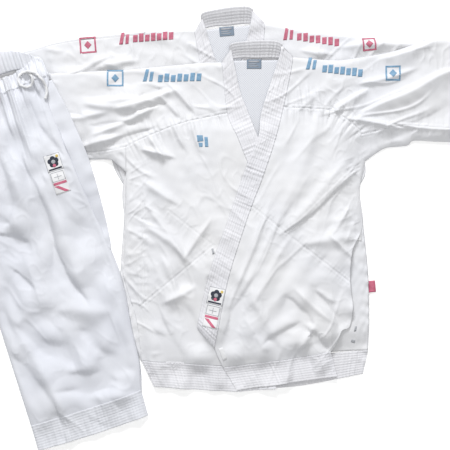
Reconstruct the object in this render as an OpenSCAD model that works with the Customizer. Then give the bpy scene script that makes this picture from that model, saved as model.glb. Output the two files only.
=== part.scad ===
// A set of karate clothes laid flat: a jacket with red marks, a jacket with blue marks
// laid over it, and a pair of trousers folded in half over their sleeves.
// Left and right are the wearer's. Seen from above, neck at the top, left is the +X side.

/* [Cloth] */
// Thickness of one sewn layer of cloth
cloth = 1.6; // [1.4:0.1:1.8]
// Air between the lower and the upper layer of a laid garment
loft = 6; // [5:0.5:6.5]
// Gap between pieces that move apart
clear = 0.3; // [0.3:0.1:0.5]

/* [Jacket] */
// Shoulder line to the middle of the front hem
jacket_len = 795; // [780:1:810]
// Width across the chest, laid flat
chest_w = 570; // [560:1:576]
// Cuff to cuff with the arms straight out
arm_span = 1500; // [1450:5:1520]
// Width of a sleeve, laid flat
sleeve_w = 232; // [220:1:236]
// Depth of the stitched cuff
cuff_d = 32; // [25:1:40]
// Width of the collar and lapel band
lapel_w = 45; // [42:1:48]
// Depth of the stitched hem band
hem_d = 56; // [48:1:60]
// Half of the neck opening at the shoulder line
neck_half = 60; // [56:1:64]

/* [Trousers] */
// Waist to hem
trouser_len = 893; // [860:1:900]
// Width of the upper leg, laid flat
thigh_w = 307; // [295:1:310]
// Width of the leg at the hem
ankle_w = 277; // [265:1:285]
// Half of the gathered waist
waist_w = 222; // [200:1:240]
// Waist to crotch
rise = 448; // [430:1:460]
// Depth of the waistband
waistband_d = 42; // [36:1:48]
// Thickness of the drawcord
cord_d = 7; // [6:0.5:8]

/* [Laying out] */
// Turn of the red jacket
red_turn = 5; // [4:0.5:6]
// Turn of the trousers
trouser_turn = 18; // [17:0.5:19]

/* [Hidden] */
$fn = 48;
node = "all";
NODES = [
  "blue_back_panel", "blue_back_lining", "blue_size_label", "blue_left_yoke", "blue_right_yoke",
  "blue_left_sleeve_upper", "blue_left_sleeve_under", "blue_left_cuff", "blue_left_gusset",
  "blue_right_sleeve_upper", "blue_right_sleeve_under", "blue_right_cuff", "blue_right_gusset",
  "blue_left_side_panel", "blue_left_chest_panel", "blue_left_skirt_panel",
  "blue_right_chest_panel", "blue_right_skirt_panel", "blue_collar", "blue_left_lapel",
  "blue_right_lapel", "blue_back_hem_band", "blue_left_hem_band", "blue_right_hem_band",
  "blue_lapel_patch", "blue_lapel_label", "blue_shoulder_marks", "blue_left_sleeve_mark",
  "blue_right_sleeve_mark", "blue_chest_mark", "blue_inner_ties", "blue_flap_tie",
  "red_back_panel", "red_back_lining", "red_size_label", "red_yokes", "red_sleeves_upper",
  "red_sleeves_under", "red_cuffs", "red_gussets", "red_left_front", "red_right_front",
  "red_collar", "red_lapels", "red_hem_bands", "red_marks", "red_inner_ties", "red_side_tag",
  "trousers_under_leg_lower", "trousers_under_leg_upper", "trousers_top_leg_lower",
  "trousers_top_leg_upper", "trousers_crotch_gusset", "trousers_under_waistband",
  "trousers_top_waistband", "trousers_waist_elastic", "trousers_under_hem_band",
  "trousers_top_hem_band", "trousers_thigh_patch", "trousers_drawcord"
];

// Jackets, as numbers: the blue one lies on the red one.
BLUE = 0;
RED = 1;
LEFT = 1;
RIGHT = -1;

// How far each cuff lies below the shoulder line, [left, right], for the blue and the red jacket.
cuff_drop = [[-48, 42], [108, 24]];

// Heights above the surface that a jacket lies on.
front_z = cloth + loft;                       // underside of the upper layer
band_t = 1.5 * cloth;                         // the stitched bands are thicker than the panels
flap_z = front_z + band_t + clear;            // underside of the left front, which laps over the right
jacket_t = flap_z + band_t;                   // height of a whole jacket
thin = 0.8;                                   // labels, ties, marks and lining
gap = 0.4;                                    // between two panels that a seam joins

// Places on the jacket pattern. The shoulder line is y = 0.
reach = arm_span / 2;
body_shift = -26;                             // the body lies a little towards the wearer's right
function side_x(hand) = chest_w / 2 + hand * body_shift;
function armhole_x(hand) = side_x(hand) - 6;
armpit_y = -sleeve_w - 22;
neck_y = 36;                                  // top of the collar above the shoulder line
hem_y = [-758, -jacket_len, -787];            // bottom of the hem at the left, middle and right
vent_y = -470;                                // top of the side vents
yoke_y = -122;                                // where the yoke seam meets the lapel
fold_top = [78, yoke_y - 5];                  // line on which the left front folds open
fold_end = [246, vent_y];

// A point of the shoulders or sleeves, lowered or raised with its cuff.
function drop(jacket, hand) = cuff_drop[jacket][hand > 0 ? 0 : 1];
function arm(jacket, hand, x, y) =
  [hand * x, y - drop(jacket, hand) * max(0, x - neck_half) / (reach - neck_half)];
function side(hand, points) = [for (p = points) [hand * p[0], p[1]]];

// The lapel's centre line is one cubic curve from the neck to above the hem.
lapel_line = [[76, 30], [48, -186], [-57, -359], [-124, -677]];
function lapel_at(t) =
  pow(1 - t, 3) * lapel_line[0] + 3 * t * pow(1 - t, 2) * lapel_line[1]
  + 3 * t * t * (1 - t) * lapel_line[2] + pow(t, 3) * lapel_line[3];
function lapel_way(t) =
  let (d = pow(1 - t, 2) * (lapel_line[1] - lapel_line[0]) + 2 * t * (1 - t) * (lapel_line[2] - lapel_line[1])
    + t * t * (lapel_line[3] - lapel_line[2])) d / norm(d);
// A point beside the centre line: across is + towards the panel and - towards the neck opening.
function lapel_beside(t, across) = lapel_at(t) + across * [-lapel_way(t)[1], lapel_way(t)[0]];
function lapel_edge(t0, t1, across, steps = 10) =
  [for (i = [0:steps]) lapel_beside(t0 + (t1 - t0) * i / steps, across)];
function backwards(points) = [for (i = [len(points) - 1:-1:0]) points[i]];
// Places along the lapel's curve.
yoke_t = 0.235;                               // where the yoke seam meets it
shoulder_t = 0.045;                           // where the shoulder line meets it
left_seam_t = 0.52;                           // where the sloping seam of the left front meets it
right_seam_t = 0.62;                          // and that of the right front

// Outlines. Each goes round one cut piece of cloth.
function yoke_seam(jacket, hand) = [
  side(hand, [lapel_beside(yoke_t, lapel_w / 2 + gap)])[0],
  arm(jacket, hand, 112, -122), arm(jacket, hand, 178, -136),
  arm(jacket, hand, armhole_x(hand) - 14, -182), arm(jacket, hand, armhole_x(hand), -198)
];
function yoke_outline(jacket, hand) = concat(
  [arm(jacket, hand, armhole_x(hand), 0)], backwards(yoke_seam(jacket, hand)),
  side(hand, backwards(lapel_edge(shoulder_t, yoke_t, lapel_w / 2 + gap, 5)))
);
function sleeve_outline(jacket, hand, low) = [
  arm(jacket, hand, armhole_x(hand) + clear, 0), arm(jacket, hand, reach - cuff_d, -4),
  arm(jacket, hand, reach - cuff_d, low ? -sleeve_w + 4 : -sleeve_w + 30),
  arm(jacket, hand, side_x(hand) + 85, low ? -sleeve_w : -sleeve_w + 34),
  arm(jacket, hand, armhole_x(hand) + clear, low ? -sleeve_w : -198)
];
function gusset_outline(jacket, hand) = [
  arm(jacket, hand, armhole_x(hand) + clear, -198.5), arm(jacket, hand, side_x(hand) + 85, -sleeve_w + 33.5),
  arm(jacket, hand, reach - cuff_d, -sleeve_w + 29.5), arm(jacket, hand, reach - cuff_d, -sleeve_w + 4),
  arm(jacket, hand, side_x(hand) + 85, -sleeve_w), arm(jacket, hand, armhole_x(hand) + clear, -sleeve_w)
];
function cuff_outline(jacket, hand) = [
  arm(jacket, hand, reach - cuff_d + gap, -4), arm(jacket, hand, reach, -5),
  arm(jacket, hand, reach, -sleeve_w + 5), arm(jacket, hand, reach - cuff_d + gap, -sleeve_w + 4)
];
function armpit(jacket, hand) = arm(jacket, hand, armhole_x(hand), armpit_y);
// The side edge from the armpit down past the vent to the top of the hem band.
function hem_top(hand) = [hand * (side_x(hand) - (hand > 0 ? -10 : 40)), hem_y[hand > 0 ? 0 : 2] + hem_d];
function hem_low(hand) = [hand * (side_x(hand) - (hand > 0 ? 1 : 62)), hem_y[hand > 0 ? 0 : 2]];
function side_edge(jacket, hand) = [
  armpit(jacket, hand), [hand * (side_x(hand) + 4), vent_y + 90], [hand * (side_x(hand) + 12), vent_y],
  [hand * (side_x(hand) - (hand > 0 ? -12 : 22)), -640], hem_top(hand)
];
function back_outline(jacket) = concat(
  [arm(jacket, LEFT, neck_half, 0), arm(jacket, LEFT, armhole_x(LEFT), 0)], side_edge(jacket, LEFT),
  [[-40, hem_y[1] + hem_d]], backwards(side_edge(jacket, RIGHT)),
  [arm(jacket, RIGHT, armhole_x(RIGHT), 0), arm(jacket, RIGHT, neck_half, 0)]
);
flap_corner = [-80, -708];                    // bottom corner of the left front, under the lapel's end
flap_hem = [[-72, hem_y[1] + hem_d + 4], [184, hem_y[0] + hem_d - 6]];   // top of its hem band
flap_low = [[-46, hem_y[1]], [196, hem_y[0] - 7]];                       // bottom of its hem band
vent_edge = [[236, vent_y - 40], [206, -600]];                           // its curled side edge
seam_left = [[70, -418], [238, vent_y - 38]];                            // the sloping seam of the left front
seam_right = [[-282, -600], [-104, -462]];                               // and of the right front

// A layer of cloth with that outline, at height z.
module layer(points, z = 0, t = cloth) {
  translate([0, 0, z]) linear_extrude(height = t) polygon(points);
}
// The narrow strip of cloth along a line of points, on the line's left.
function left_of(a, b) = let (way = (b - a) / norm(b - a)) [-way[1], way[0]];
function mitre(points, i) =
  let (
    n = len(points),
    before = i > 0 ? left_of(points[i - 1], points[i]) : left_of(points[0], points[1]),
    after = i < n - 1 ? left_of(points[i], points[i + 1]) : before
  )
  (before + after) / (1 + before * after);
function strip(points) =
  concat(points, [for (i = [len(points) - 1:-1:0]) points[i] + cloth * mitre(points, i)]);
// The turned edge that closes the two layers of a garment.
module turned_edge(points, z = cloth, h = loft) {
  layer(strip(points), z, h);
}

// ---- Jacket pieces, each in the jacket's own frame ----
module back_panel(jacket) {
  color("whitesmoke") {
    layer(back_outline(jacket));
    for (hand = [LEFT, RIGHT]) {
      shoulder = [for (x = [92, armhole_x(hand) - 2]) arm(jacket, hand, x, -gap)];
      edge = side_edge(jacket, hand);
      down = [edge[0], edge[1], edge[2]];
      turned_edge(hand > 0 ? backwards(shoulder) : shoulder);
      turned_edge(hand > 0 ? backwards(down) : down);
    }
  }
}
module back_lining(jacket) {
  corners = [for (hand = [RIGHT, LEFT]) for (p = [[neck_half + 20, -6], [armhole_x(hand) - 20, -8],
    [armhole_x(hand) - 20, -200]]) arm(jacket, hand, p[0], p[1])];
  color("white") layer([
    corners[0], corners[1], corners[2], [0, -290], corners[5], corners[4], corners[3]
  ], cloth, thin);
}
module size_label() {
  color("lightsteelblue") translate([-24, -32, cloth + thin]) cube([38, 22, thin]);
}
module yoke(jacket, hand) {
  color("whitesmoke") layer(yoke_outline(jacket, hand), front_z);
}
module sleeve_upper(jacket, hand) {
  line = [arm(jacket, hand, armhole_x(hand) + clear, 0), arm(jacket, hand, reach - cuff_d, -4)];
  color("whitesmoke") {
    layer(sleeve_outline(jacket, hand, false), front_z);
    turned_edge(hand > 0 ? backwards(line) : line);
  }
}
module sleeve_under(jacket, hand) {
  color("whitesmoke") layer(sleeve_outline(jacket, hand, true));
}
module gusset(jacket, hand) {
  points = gusset_outline(jacket, hand);
  line = [points[5], points[4], points[3]];
  color("whitesmoke") {
    layer(points, front_z);
    turned_edge(hand > 0 ? line : backwards(line));
  }
}
module cuff(jacket, hand) {
  points = cuff_outline(jacket, hand);
  color("white") {
    layer(points, 0);
    layer(points, front_z);
    for (line = [[points[1], points[0]], [points[3], points[2]]])
      turned_edge(hand > 0 ? line : backwards(line));
  }
}
// The collar runs round the neck and down to the yoke seam on each side.
module collar() {
  color("gainsboro") {
    layer([
      [-neck_half - 4, 22], [-neck_half + 6, neck_y - 3], [neck_half - 12, neck_y],
      [neck_half + 4, neck_y - 9], [neck_half - 4, -4], [-neck_half + 4, -4]
    ], front_z, band_t);
    for (hand = [LEFT, RIGHT])
      layer(side(hand, concat(
        lapel_edge(0.02, yoke_t, -lapel_w / 2), backwards(lapel_edge(0.02, yoke_t, lapel_w / 2))
      )), front_z, band_t);
  }
}
// The lapel below the yoke seam. Its lower end is cut on a slant.
module lapel(hand, z) {
  start = yoke_t + 0.001;
  color("gainsboro") layer(side(hand, concat(
    lapel_edge(start, 0.96, -lapel_w / 2), [lapel_beside(1.03, lapel_w / 2)],
    backwards(lapel_edge(start, 0.99, lapel_w / 2))
  )), z, band_t);
}
module left_side_panel(jacket) {
  seam = yoke_seam(jacket, LEFT);
  edge = side_edge(jacket, LEFT);
  color("whitesmoke") layer(concat(
    [fold_top + [2, 0]], [for (i = [1:4]) seam[i] - [0, gap]], [edge[0], edge[1], edge[2], fold_end + [2, 0]]
  ), front_z);
}
module left_chest_panel(z) {
  color("whitesmoke") layer(concat(
    lapel_edge(yoke_t + 0.01, left_seam_t, lapel_w / 2 + gap), [seam_left[0], seam_left[1], fold_end, fold_top]
  ), z);
}
module left_skirt_panel(z) {
  color("whitesmoke") layer(concat(
    [for (i = [1, 0]) seam_left[i] - [0, gap]], lapel_edge(left_seam_t + 0.003, 0.985, lapel_w / 2 + gap),
    [flap_corner, flap_hem[0], flap_hem[1], vent_edge[1], vent_edge[0]]
  ), z);
}
module left_hem_band(z) {
  color("gainsboro") layer([
    flap_hem[0] - [0, gap], flap_low[0], flap_low[1], flap_hem[1] - [0, gap]
  ], z, band_t);
}
module right_chest_panel(jacket) {
  seam = yoke_seam(jacket, RIGHT);
  edge = side_edge(jacket, RIGHT);
  color("whitesmoke") layer(concat(
    side(RIGHT, lapel_edge(yoke_t + 0.01, right_seam_t, lapel_w / 2 + gap)),
    backwards(seam_right), [edge[2], edge[1], edge[0]], [for (i = [4:-1:1]) seam[i] - [0, gap]]
  ), front_z);
}
module right_skirt_panel(jacket) {
  edge = side_edge(jacket, RIGHT);
  color("whitesmoke") layer(concat(
    [for (p = seam_right) p - [0, gap]],
    side(RIGHT, lapel_edge(right_seam_t + 0.003, 0.985, lapel_w / 2 + gap)),
    [[80, -706], [72, hem_y[1] + hem_d], [-40, hem_y[1] + hem_d], edge[4], edge[3]]
  ), front_z);
}
module right_hem_band() {
  color("gainsboro") layer([
    [72, hem_y[1] + hem_d - gap], [46, hem_y[1]], [-40, hem_y[1]], hem_low(RIGHT), hem_top(RIGHT) - [0, gap],
    [-40, hem_y[1] + hem_d - gap]
  ], front_z, band_t);
}
module back_hem_band() {
  color("gainsboro") layer([
    hem_top(LEFT) - [0, gap], hem_low(LEFT), [-40, hem_y[1] + 2], hem_low(RIGHT), hem_top(RIGHT) - [0, gap],
    [-40, hem_y[1] + hem_d - gap]
  ], 0, band_t);
}
// A square woven patch and a striped label sewn on near the lapel's lower end.
module on_lapel(t, z) {
  way = lapel_way(t);
  translate([lapel_at(t)[0], lapel_at(t)[1], z]) rotate(atan2(way[1], way[0]) + 90) children();
}
module lapel_patch(z) {
  color("navy") on_lapel(0.885, z) translate([-20, -23, 0]) cube([40, 46, thin]);
}
module lapel_label(z) {
  color("crimson") on_lapel(0.975, z) translate([-20, -26, 0]) cube([40, 44, thin]);
}
// A row of slanted bars along the shoulder, and a framed square on the sleeve.
mark_bar = [12, 26];
module shoulder_bars(jacket, hand, colour) {
  color(colour) for (i = [0:5]) {
    x = 128 + i * 20;
    w = mark_bar[0];
    h = mark_bar[1];
    layer([
      arm(jacket, hand, x, -30), arm(jacket, hand, x + w, -30),
      arm(jacket, hand, x + w + 6, -30 - h), arm(jacket, hand, x + 6, -30 - h)
    ], front_z + cloth, thin);
  }
}
module sleeve_square(jacket, hand, colour) {
  a = 22;
  at = arm(jacket, hand, 338, -48);
  color(colour) translate([at[0], at[1], front_z + cloth]) linear_extrude(height = thin) difference() {
    square([2 * a, 2 * a], center = true);
    square([2 * a - 8, 2 * a - 8], center = true);
  }
  color(colour) translate([at[0], at[1], front_z + cloth]) linear_extrude(height = thin)
    rotate(45) square([18, 18], center = true);
}
module chest_mark(colour) {
  color(colour) translate([-136, -206, front_z + cloth]) linear_extrude(height = thin) {
    rotate(45) square([16, 16], center = true);
    translate([14, -14]) square([10, 6], center = true);
  }
}
tie_w = 18;                                   // width of the tapes that tie the jacket shut
// The pair inside the left side: one sewn to the right lapel, one to the side seam.
module inner_ties() {
  color("white") {
    layer([[74, -452], [205, -462], [206, -462 - tie_w], [74, -452 - tie_w]], front_z - thin, thin);
    layer([[264, -420], [110, -412], [109, -412 - tie_w], [264, -420 - tie_w]], front_z - thin, thin);
  }
}
// One of the outer pair, sewn under the edge of the left front and tucked in beneath it.
module flap_tie() {
  color("white") layer([[-84, -470], [44, -486], [42, -486 - tie_w], [-86, -470 - tie_w]], flap_z - thin, thin);
}
module side_tag() {
  color("crimson") translate([side_x(LEFT) - 2, -668, cloth]) cube([22, 28, thin]);
}

// ---- Trouser pieces, in the trousers' own frame: waist at y = 0, leg towards -Y, crotch on +X ----
leg_t = front_z + cloth;                      // height of one sleeve or leg, laid flat
drape_z = jacket_t + leg_t + 2 * clear;       // height of the two sleeves that the upper end lies on
drape_from = 300;                             // where the trousers start down to the table
drape_to = 420;
top_z = leg_t + clear;                        // underside of the top leg
hip_y = -64;
leg_outline = [
  [0, -waistband_d], [-waist_w, -waistband_d], [-waist_w - 40, hip_y - 10], [-thigh_w, -170], [-thigh_w, -560],
  [-thigh_w - 2, -trouser_len + hem_d], [ankle_w - thigh_w - 2, -trouser_len + hem_d], [-12, -770], [8, -560],
  [0, -rise]
];
outer_edge = [for (i = [1:5]) leg_outline[i]];
inner_edge = [for (i = [6:9]) leg_outline[i]];
hem_outline = [
  [-thigh_w - 2, -trouser_len + hem_d], [-thigh_w - 4, -trouser_len],
  [ankle_w - thigh_w - 4, -trouser_len], [ankle_w - thigh_w - 2, -trouser_len + hem_d]
];
waistband_outline = [[0, 0], [-waist_w, 0], [-waist_w, -waistband_d], [0, -waistband_d]];

// Between heights z and z + h above whatever the trousers lie on: the sleeves, then the table.
module draped(z, h) {
  intersection() {
    linear_extrude(height = 100) children();
    rotate([90, 0, 90]) translate([0, 0, -400]) linear_extrude(height = 500) polygon([
      [20, drape_z + z], [-drape_from, drape_z + z], [-drape_to, z], [-1000, z],
      [-1000, z + h], [-drape_to, z + h], [-drape_from, drape_z + z + h], [20, drape_z + z + h]
    ]);
  }
}
// The lower panel of a leg, with its edges turned up to meet the upper panel.
module leg_lower(z) {
  color("whitesmoke") union() {
    draped(z, cloth) polygon(leg_outline);
    draped(z + cloth, loft) polygon(strip(outer_edge));
    draped(z + cloth, loft) polygon(strip(inner_edge));
  }
}
module leg_upper(z) {
  color("whitesmoke") draped(z + front_z, cloth) polygon(leg_outline);
}
module hem_tube(z) {
  color("gainsboro") union() {
    draped(z, cloth) polygon(hem_outline);
    draped(z + front_z, cloth) polygon(hem_outline);
    draped(z + cloth, loft) polygon(strip([hem_outline[0], hem_outline[1]]));
    draped(z + cloth, loft) polygon(strip([hem_outline[2], hem_outline[3]]));
  }
}
module waistband(z) {
  color("gainsboro") union() {
    draped(z, cloth) polygon(waistband_outline);
    draped(z + front_z, cloth) polygon(waistband_outline);
    draped(z + cloth, loft) polygon(strip([waistband_outline[1], waistband_outline[2]]));
  }
}
module waist_elastic() {
  color("white") draped(cloth, 1.2) translate([-waist_w + 4, -waistband_d + 6])
    square([waist_w - 6, waistband_d - 12]);
}
// The crotch gusset stands out beyond the fold of the trousers.
module crotch_gusset() {
  color("white") draped(cloth, loft) polygon([
    [1, -waistband_d - 6], [16, -170], [30, -250], [30, -360], [16, -rise - 4], [9, -rise - 30], [1, -rise + 10]
  ]);
}
module thigh_patch() {
  color("navy") draped(top_z + leg_t, thin) translate([-62, -285]) square([42, 48]);
  color("crimson") draped(top_z + leg_t, thin) translate([-62, -345]) square([42, 52]);
}

// The free end of the drawcord: a loop that lies on the waistband and a tail down the trousers.
cord_z = drape_z + top_z + leg_t + cord_d / 2 + 0.4;
cord_route = [
  [-64, -17, 0], [-57, -20, 1], [-49, -25, 2], [-43, -34, 3], [-43, -45, 2], [-49, -54, 1], [-59, -57, 0],
  [-69, -53, 0], [-75, -44, 0], [-75, -33, 0], [-69, -25, 2], [-60, -22, 7], [-51, -22, 8.5], [-41, -26, 7],
  [-31, -34, 2], [-24, -45, 0], [-20, -58, 0], [-19, -72, 0], [-23, -85, 0], [-30, -96, 0]
];
function cord_ring(i) =
  let (
    n = len(cord_route),
    a = cord_route[max(0, i - 1)],
    b = cord_route[min(n - 1, i + 1)],
    way = (b - a) / norm(b - a),
    across = cross(way, [0, 0, 1]) / norm(cross(way, [0, 0, 1])),
    up = cross(across, way)
  )
  [for (k = [0:7]) cord_route[i] + cord_d / 2 * (cos(45 * k) * across + sin(45 * k) * up)];
module drawcord() {
  n = len(cord_route);
  color("white") translate([0, 0, cord_z]) polyhedron(
    points = [for (i = [0:n - 1]) each cord_ring(i)],
    faces = concat(
      [for (i = [0:n - 2]) for (k = [0:7])
        [8 * i + k, 8 * i + (k + 1) % 8, 8 * i + 8 + (k + 1) % 8, 8 * i + 8 + k]],
      [[for (k = [7:-1:0]) k], [for (k = [0:7]) 8 * (n - 1) + k]]
    ),
    convexity = 10
  );
}

// ---- Where each garment lies. The origin is under the middle of the whole set. ----
blue_at = [31, 412, jacket_t + clear];
red_at = [-36, 493, 0];
trousers_at = [-473, 412, 0];
module on_blue() { translate(blue_at) children(); }
module on_red() { translate(red_at) rotate(red_turn) children(); }
module on_trousers() { translate(trousers_at) rotate(trouser_turn) children(); }
function wanted(name) = node == "all" || node == name;

if (wanted("blue_back_panel")) on_blue() back_panel(BLUE);
if (wanted("blue_back_lining")) on_blue() back_lining(BLUE);
if (wanted("blue_size_label")) on_blue() size_label();
if (wanted("blue_left_yoke")) on_blue() yoke(BLUE, LEFT);
if (wanted("blue_right_yoke")) on_blue() yoke(BLUE, RIGHT);
if (wanted("blue_left_sleeve_upper")) on_blue() sleeve_upper(BLUE, LEFT);
if (wanted("blue_left_sleeve_under")) on_blue() sleeve_under(BLUE, LEFT);
if (wanted("blue_left_cuff")) on_blue() cuff(BLUE, LEFT);
if (wanted("blue_left_gusset")) on_blue() gusset(BLUE, LEFT);
if (wanted("blue_right_sleeve_upper")) on_blue() sleeve_upper(BLUE, RIGHT);
if (wanted("blue_right_sleeve_under")) on_blue() sleeve_under(BLUE, RIGHT);
if (wanted("blue_right_cuff")) on_blue() cuff(BLUE, RIGHT);
if (wanted("blue_right_gusset")) on_blue() gusset(BLUE, RIGHT);
if (wanted("blue_left_side_panel")) on_blue() left_side_panel(BLUE);
if (wanted("blue_left_chest_panel")) on_blue() left_chest_panel(flap_z);
if (wanted("blue_left_skirt_panel")) on_blue() left_skirt_panel(flap_z);
if (wanted("blue_right_chest_panel")) on_blue() right_chest_panel(BLUE);
if (wanted("blue_right_skirt_panel")) on_blue() right_skirt_panel(BLUE);
if (wanted("blue_collar")) on_blue() collar();
if (wanted("blue_left_lapel")) on_blue() lapel(LEFT, flap_z);
if (wanted("blue_right_lapel")) on_blue() lapel(RIGHT, front_z);
if (wanted("blue_back_hem_band")) on_blue() back_hem_band();
if (wanted("blue_left_hem_band")) on_blue() left_hem_band(flap_z);
if (wanted("blue_right_hem_band")) on_blue() right_hem_band();
if (wanted("blue_lapel_patch")) on_blue() lapel_patch(jacket_t);
if (wanted("blue_lapel_label")) on_blue() lapel_label(jacket_t);
if (wanted("blue_shoulder_marks")) on_blue() for (hand = [LEFT, RIGHT]) shoulder_bars(BLUE, hand, "steelblue");
if (wanted("blue_left_sleeve_mark")) on_blue() sleeve_square(BLUE, LEFT, "steelblue");
if (wanted("blue_right_sleeve_mark")) on_blue() sleeve_square(BLUE, RIGHT, "steelblue");
if (wanted("blue_chest_mark")) on_blue() chest_mark("steelblue");
if (wanted("blue_inner_ties")) on_blue() inner_ties();
if (wanted("blue_flap_tie")) on_blue() flap_tie();
if (wanted("red_back_panel")) on_red() back_panel(RED);
if (wanted("red_back_lining")) on_red() back_lining(RED);
if (wanted("red_size_label")) on_red() size_label();
if (wanted("red_yokes")) on_red() for (hand = [LEFT, RIGHT]) yoke(RED, hand);
if (wanted("red_sleeves_upper")) on_red() for (hand = [LEFT, RIGHT]) sleeve_upper(RED, hand);
if (wanted("red_sleeves_under")) on_red() for (hand = [LEFT, RIGHT]) sleeve_under(RED, hand);
if (wanted("red_cuffs")) on_red() for (hand = [LEFT, RIGHT]) cuff(RED, hand);
if (wanted("red_gussets")) on_red() for (hand = [LEFT, RIGHT]) gusset(RED, hand);
if (wanted("red_left_front")) on_red() {
  left_side_panel(RED);
  left_chest_panel(flap_z);
  left_skirt_panel(flap_z);
}
if (wanted("red_right_front")) on_red() {
  right_chest_panel(RED);
  right_skirt_panel(RED);
}
if (wanted("red_collar")) on_red() collar();
if (wanted("red_lapels")) on_red() {
  lapel(LEFT, flap_z);
  lapel(RIGHT, front_z);
}
if (wanted("red_hem_bands")) on_red() {
  back_hem_band();
  left_hem_band(flap_z);
  right_hem_band();
}
if (wanted("red_marks")) on_red() for (hand = [LEFT, RIGHT]) {
  shoulder_bars(RED, hand, "crimson");
  sleeve_square(RED, hand, "crimson");
}
if (wanted("red_inner_ties")) on_red() inner_ties();
if (wanted("red_side_tag")) on_red() side_tag();
if (wanted("trousers_under_leg_lower")) on_trousers() leg_lower(0);
if (wanted("trousers_under_leg_upper")) on_trousers() leg_upper(0);
if (wanted("trousers_top_leg_lower")) on_trousers() leg_lower(top_z);
if (wanted("trousers_top_leg_upper")) on_trousers() leg_upper(top_z);
if (wanted("trousers_crotch_gusset")) on_trousers() crotch_gusset();
if (wanted("trousers_under_waistband")) on_trousers() waistband(0);
if (wanted("trousers_top_waistband")) on_trousers() waistband(top_z);
if (wanted("trousers_waist_elastic")) on_trousers() waist_elastic();
if (wanted("trousers_under_hem_band")) on_trousers() hem_tube(0);
if (wanted("trousers_top_hem_band")) on_trousers() hem_tube(top_z);
if (wanted("trousers_thigh_patch")) on_trousers() thigh_patch();
if (wanted("trousers_drawcord")) on_trousers() drawcord();
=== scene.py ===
import bmesh
import bpy
import numpy as np
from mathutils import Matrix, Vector


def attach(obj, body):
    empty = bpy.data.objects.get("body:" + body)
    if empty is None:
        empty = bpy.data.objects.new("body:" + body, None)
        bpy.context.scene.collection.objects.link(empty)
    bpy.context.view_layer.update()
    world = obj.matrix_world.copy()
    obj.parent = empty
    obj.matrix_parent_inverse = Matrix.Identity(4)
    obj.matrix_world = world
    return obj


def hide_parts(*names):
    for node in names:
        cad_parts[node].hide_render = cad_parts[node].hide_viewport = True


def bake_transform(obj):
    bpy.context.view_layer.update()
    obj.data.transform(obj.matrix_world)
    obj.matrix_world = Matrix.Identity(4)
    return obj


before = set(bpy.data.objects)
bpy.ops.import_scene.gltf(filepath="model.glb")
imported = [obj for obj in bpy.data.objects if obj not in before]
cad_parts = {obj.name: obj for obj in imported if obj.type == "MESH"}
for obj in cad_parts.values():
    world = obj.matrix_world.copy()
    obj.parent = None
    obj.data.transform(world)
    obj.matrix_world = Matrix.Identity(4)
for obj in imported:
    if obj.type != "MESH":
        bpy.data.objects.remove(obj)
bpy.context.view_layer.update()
mm = 0.001
print("frame loaded")


def runAlong(line):
    # how far each point of a line is from its start, measured along it
    return np.r_[0, np.cumsum(np.linalg.norm(np.diff(line, axis=0), axis=1))]


def curve(points, count):
    # a smooth curve through the points, then evenly spaced along its length
    p = np.asarray(points, float)
    ends = np.vstack([2 * p[0] - p[1], p, 2 * p[-1] - p[-2]])
    a, b, c, d = (ends[i:len(ends) - 3 + i, None] for i in range(4))
    t = np.linspace(0, 1, 12, endpoint=False)[None, :, None]
    fine = 0.5 * (2 * b + (c - a) * t + (2 * a - 5 * b + 4 * c - d) * t**2 + (3 * b - a - 3 * c + d) * t**3)
    fine = np.vstack([fine.reshape(-1, p.shape[1]), p[-1:]])
    run = runAlong(fine)
    even = np.linspace(0, run[-1], count)
    return np.stack([np.interp(even, run, fine[:, i]) for i in range(p.shape[1])], 1)


def nearest(x, y, line):
    # arc length of the nearest place on the line, and the distance to it, + on the line's left
    best, place, side = np.full(x.shape, np.inf), np.zeros(x.shape), np.ones(x.shape)
    run = 0.0
    for a, b in zip(line[:-1], line[1:]):
        d = b - a
        n = np.hypot(*d)
        if n == 0:
            continue
        t = np.clip(((x - a[0]) * d[0] + (y - a[1]) * d[1]) / n**2, 0, 1)
        ex, ey = x - a[0] - t * d[0], y - a[1] - t * d[1]
        q = np.hypot(ex, ey)
        near = q < best
        best, place = np.where(near, q, best), np.where(near, run + t * n, place)
        side = np.where(near, np.where(d[0] * ey - d[1] * ex < 0, -1, 1), side)
        run += n
    return place, best * side


def toNearest(x, y, lines):
    # the distance to the nearest of several lines
    return np.min([np.abs(nearest(x, y, line)[1]) for line in lines], 0)


def depthInside(x, y, outline):
    # distance to a closed outline, + inside it
    inside = np.zeros(x.shape, bool)
    closed = np.vstack([outline, outline[:1]])
    for a, b in zip(closed[:-1], closed[1:]):
        if a[1] != b[1]:
            crosses = ((a[1] > y) != (b[1] > y)) & (x < (b[0] - a[0]) * (y - a[1]) / (b[1] - a[1]) + a[0])
            inside ^= crosses
    away = np.abs(nearest(x, y, closed)[1])
    return np.where(inside, away, -away)


def smooth(t):
    t = np.clip(t, 0, 1)
    return t * t * (3 - 2 * t)


def ripple(x, y, size, seed, waves=12):
    # the sum of a few plane waves of about one size in random directions, about -1 to 1
    rng = np.random.default_rng(seed)
    total = np.zeros(np.broadcast(x, y).shape)
    for angle, phase, scale in rng.uniform((0, 0, 0.7), (np.pi, 2 * np.pi, 1.5), (waves, 3)):
        k = 2 * np.pi * scale / size
        total = total + np.sin(k * (x * np.cos(angle) + y * np.sin(angle)) + phase)
    return total / np.sqrt(waves)


def wander(s, size, seed, waves=7):
    # the same along one line
    rng = np.random.default_rng(seed)
    total = np.zeros(np.shape(s))
    for phase, scale in rng.uniform((0, 0.6), (2 * np.pi, 1.7), (waves, 2)):
        total = total + np.sin(2 * np.pi * scale / size * s + phase)
    return total / np.sqrt(waves)


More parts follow.
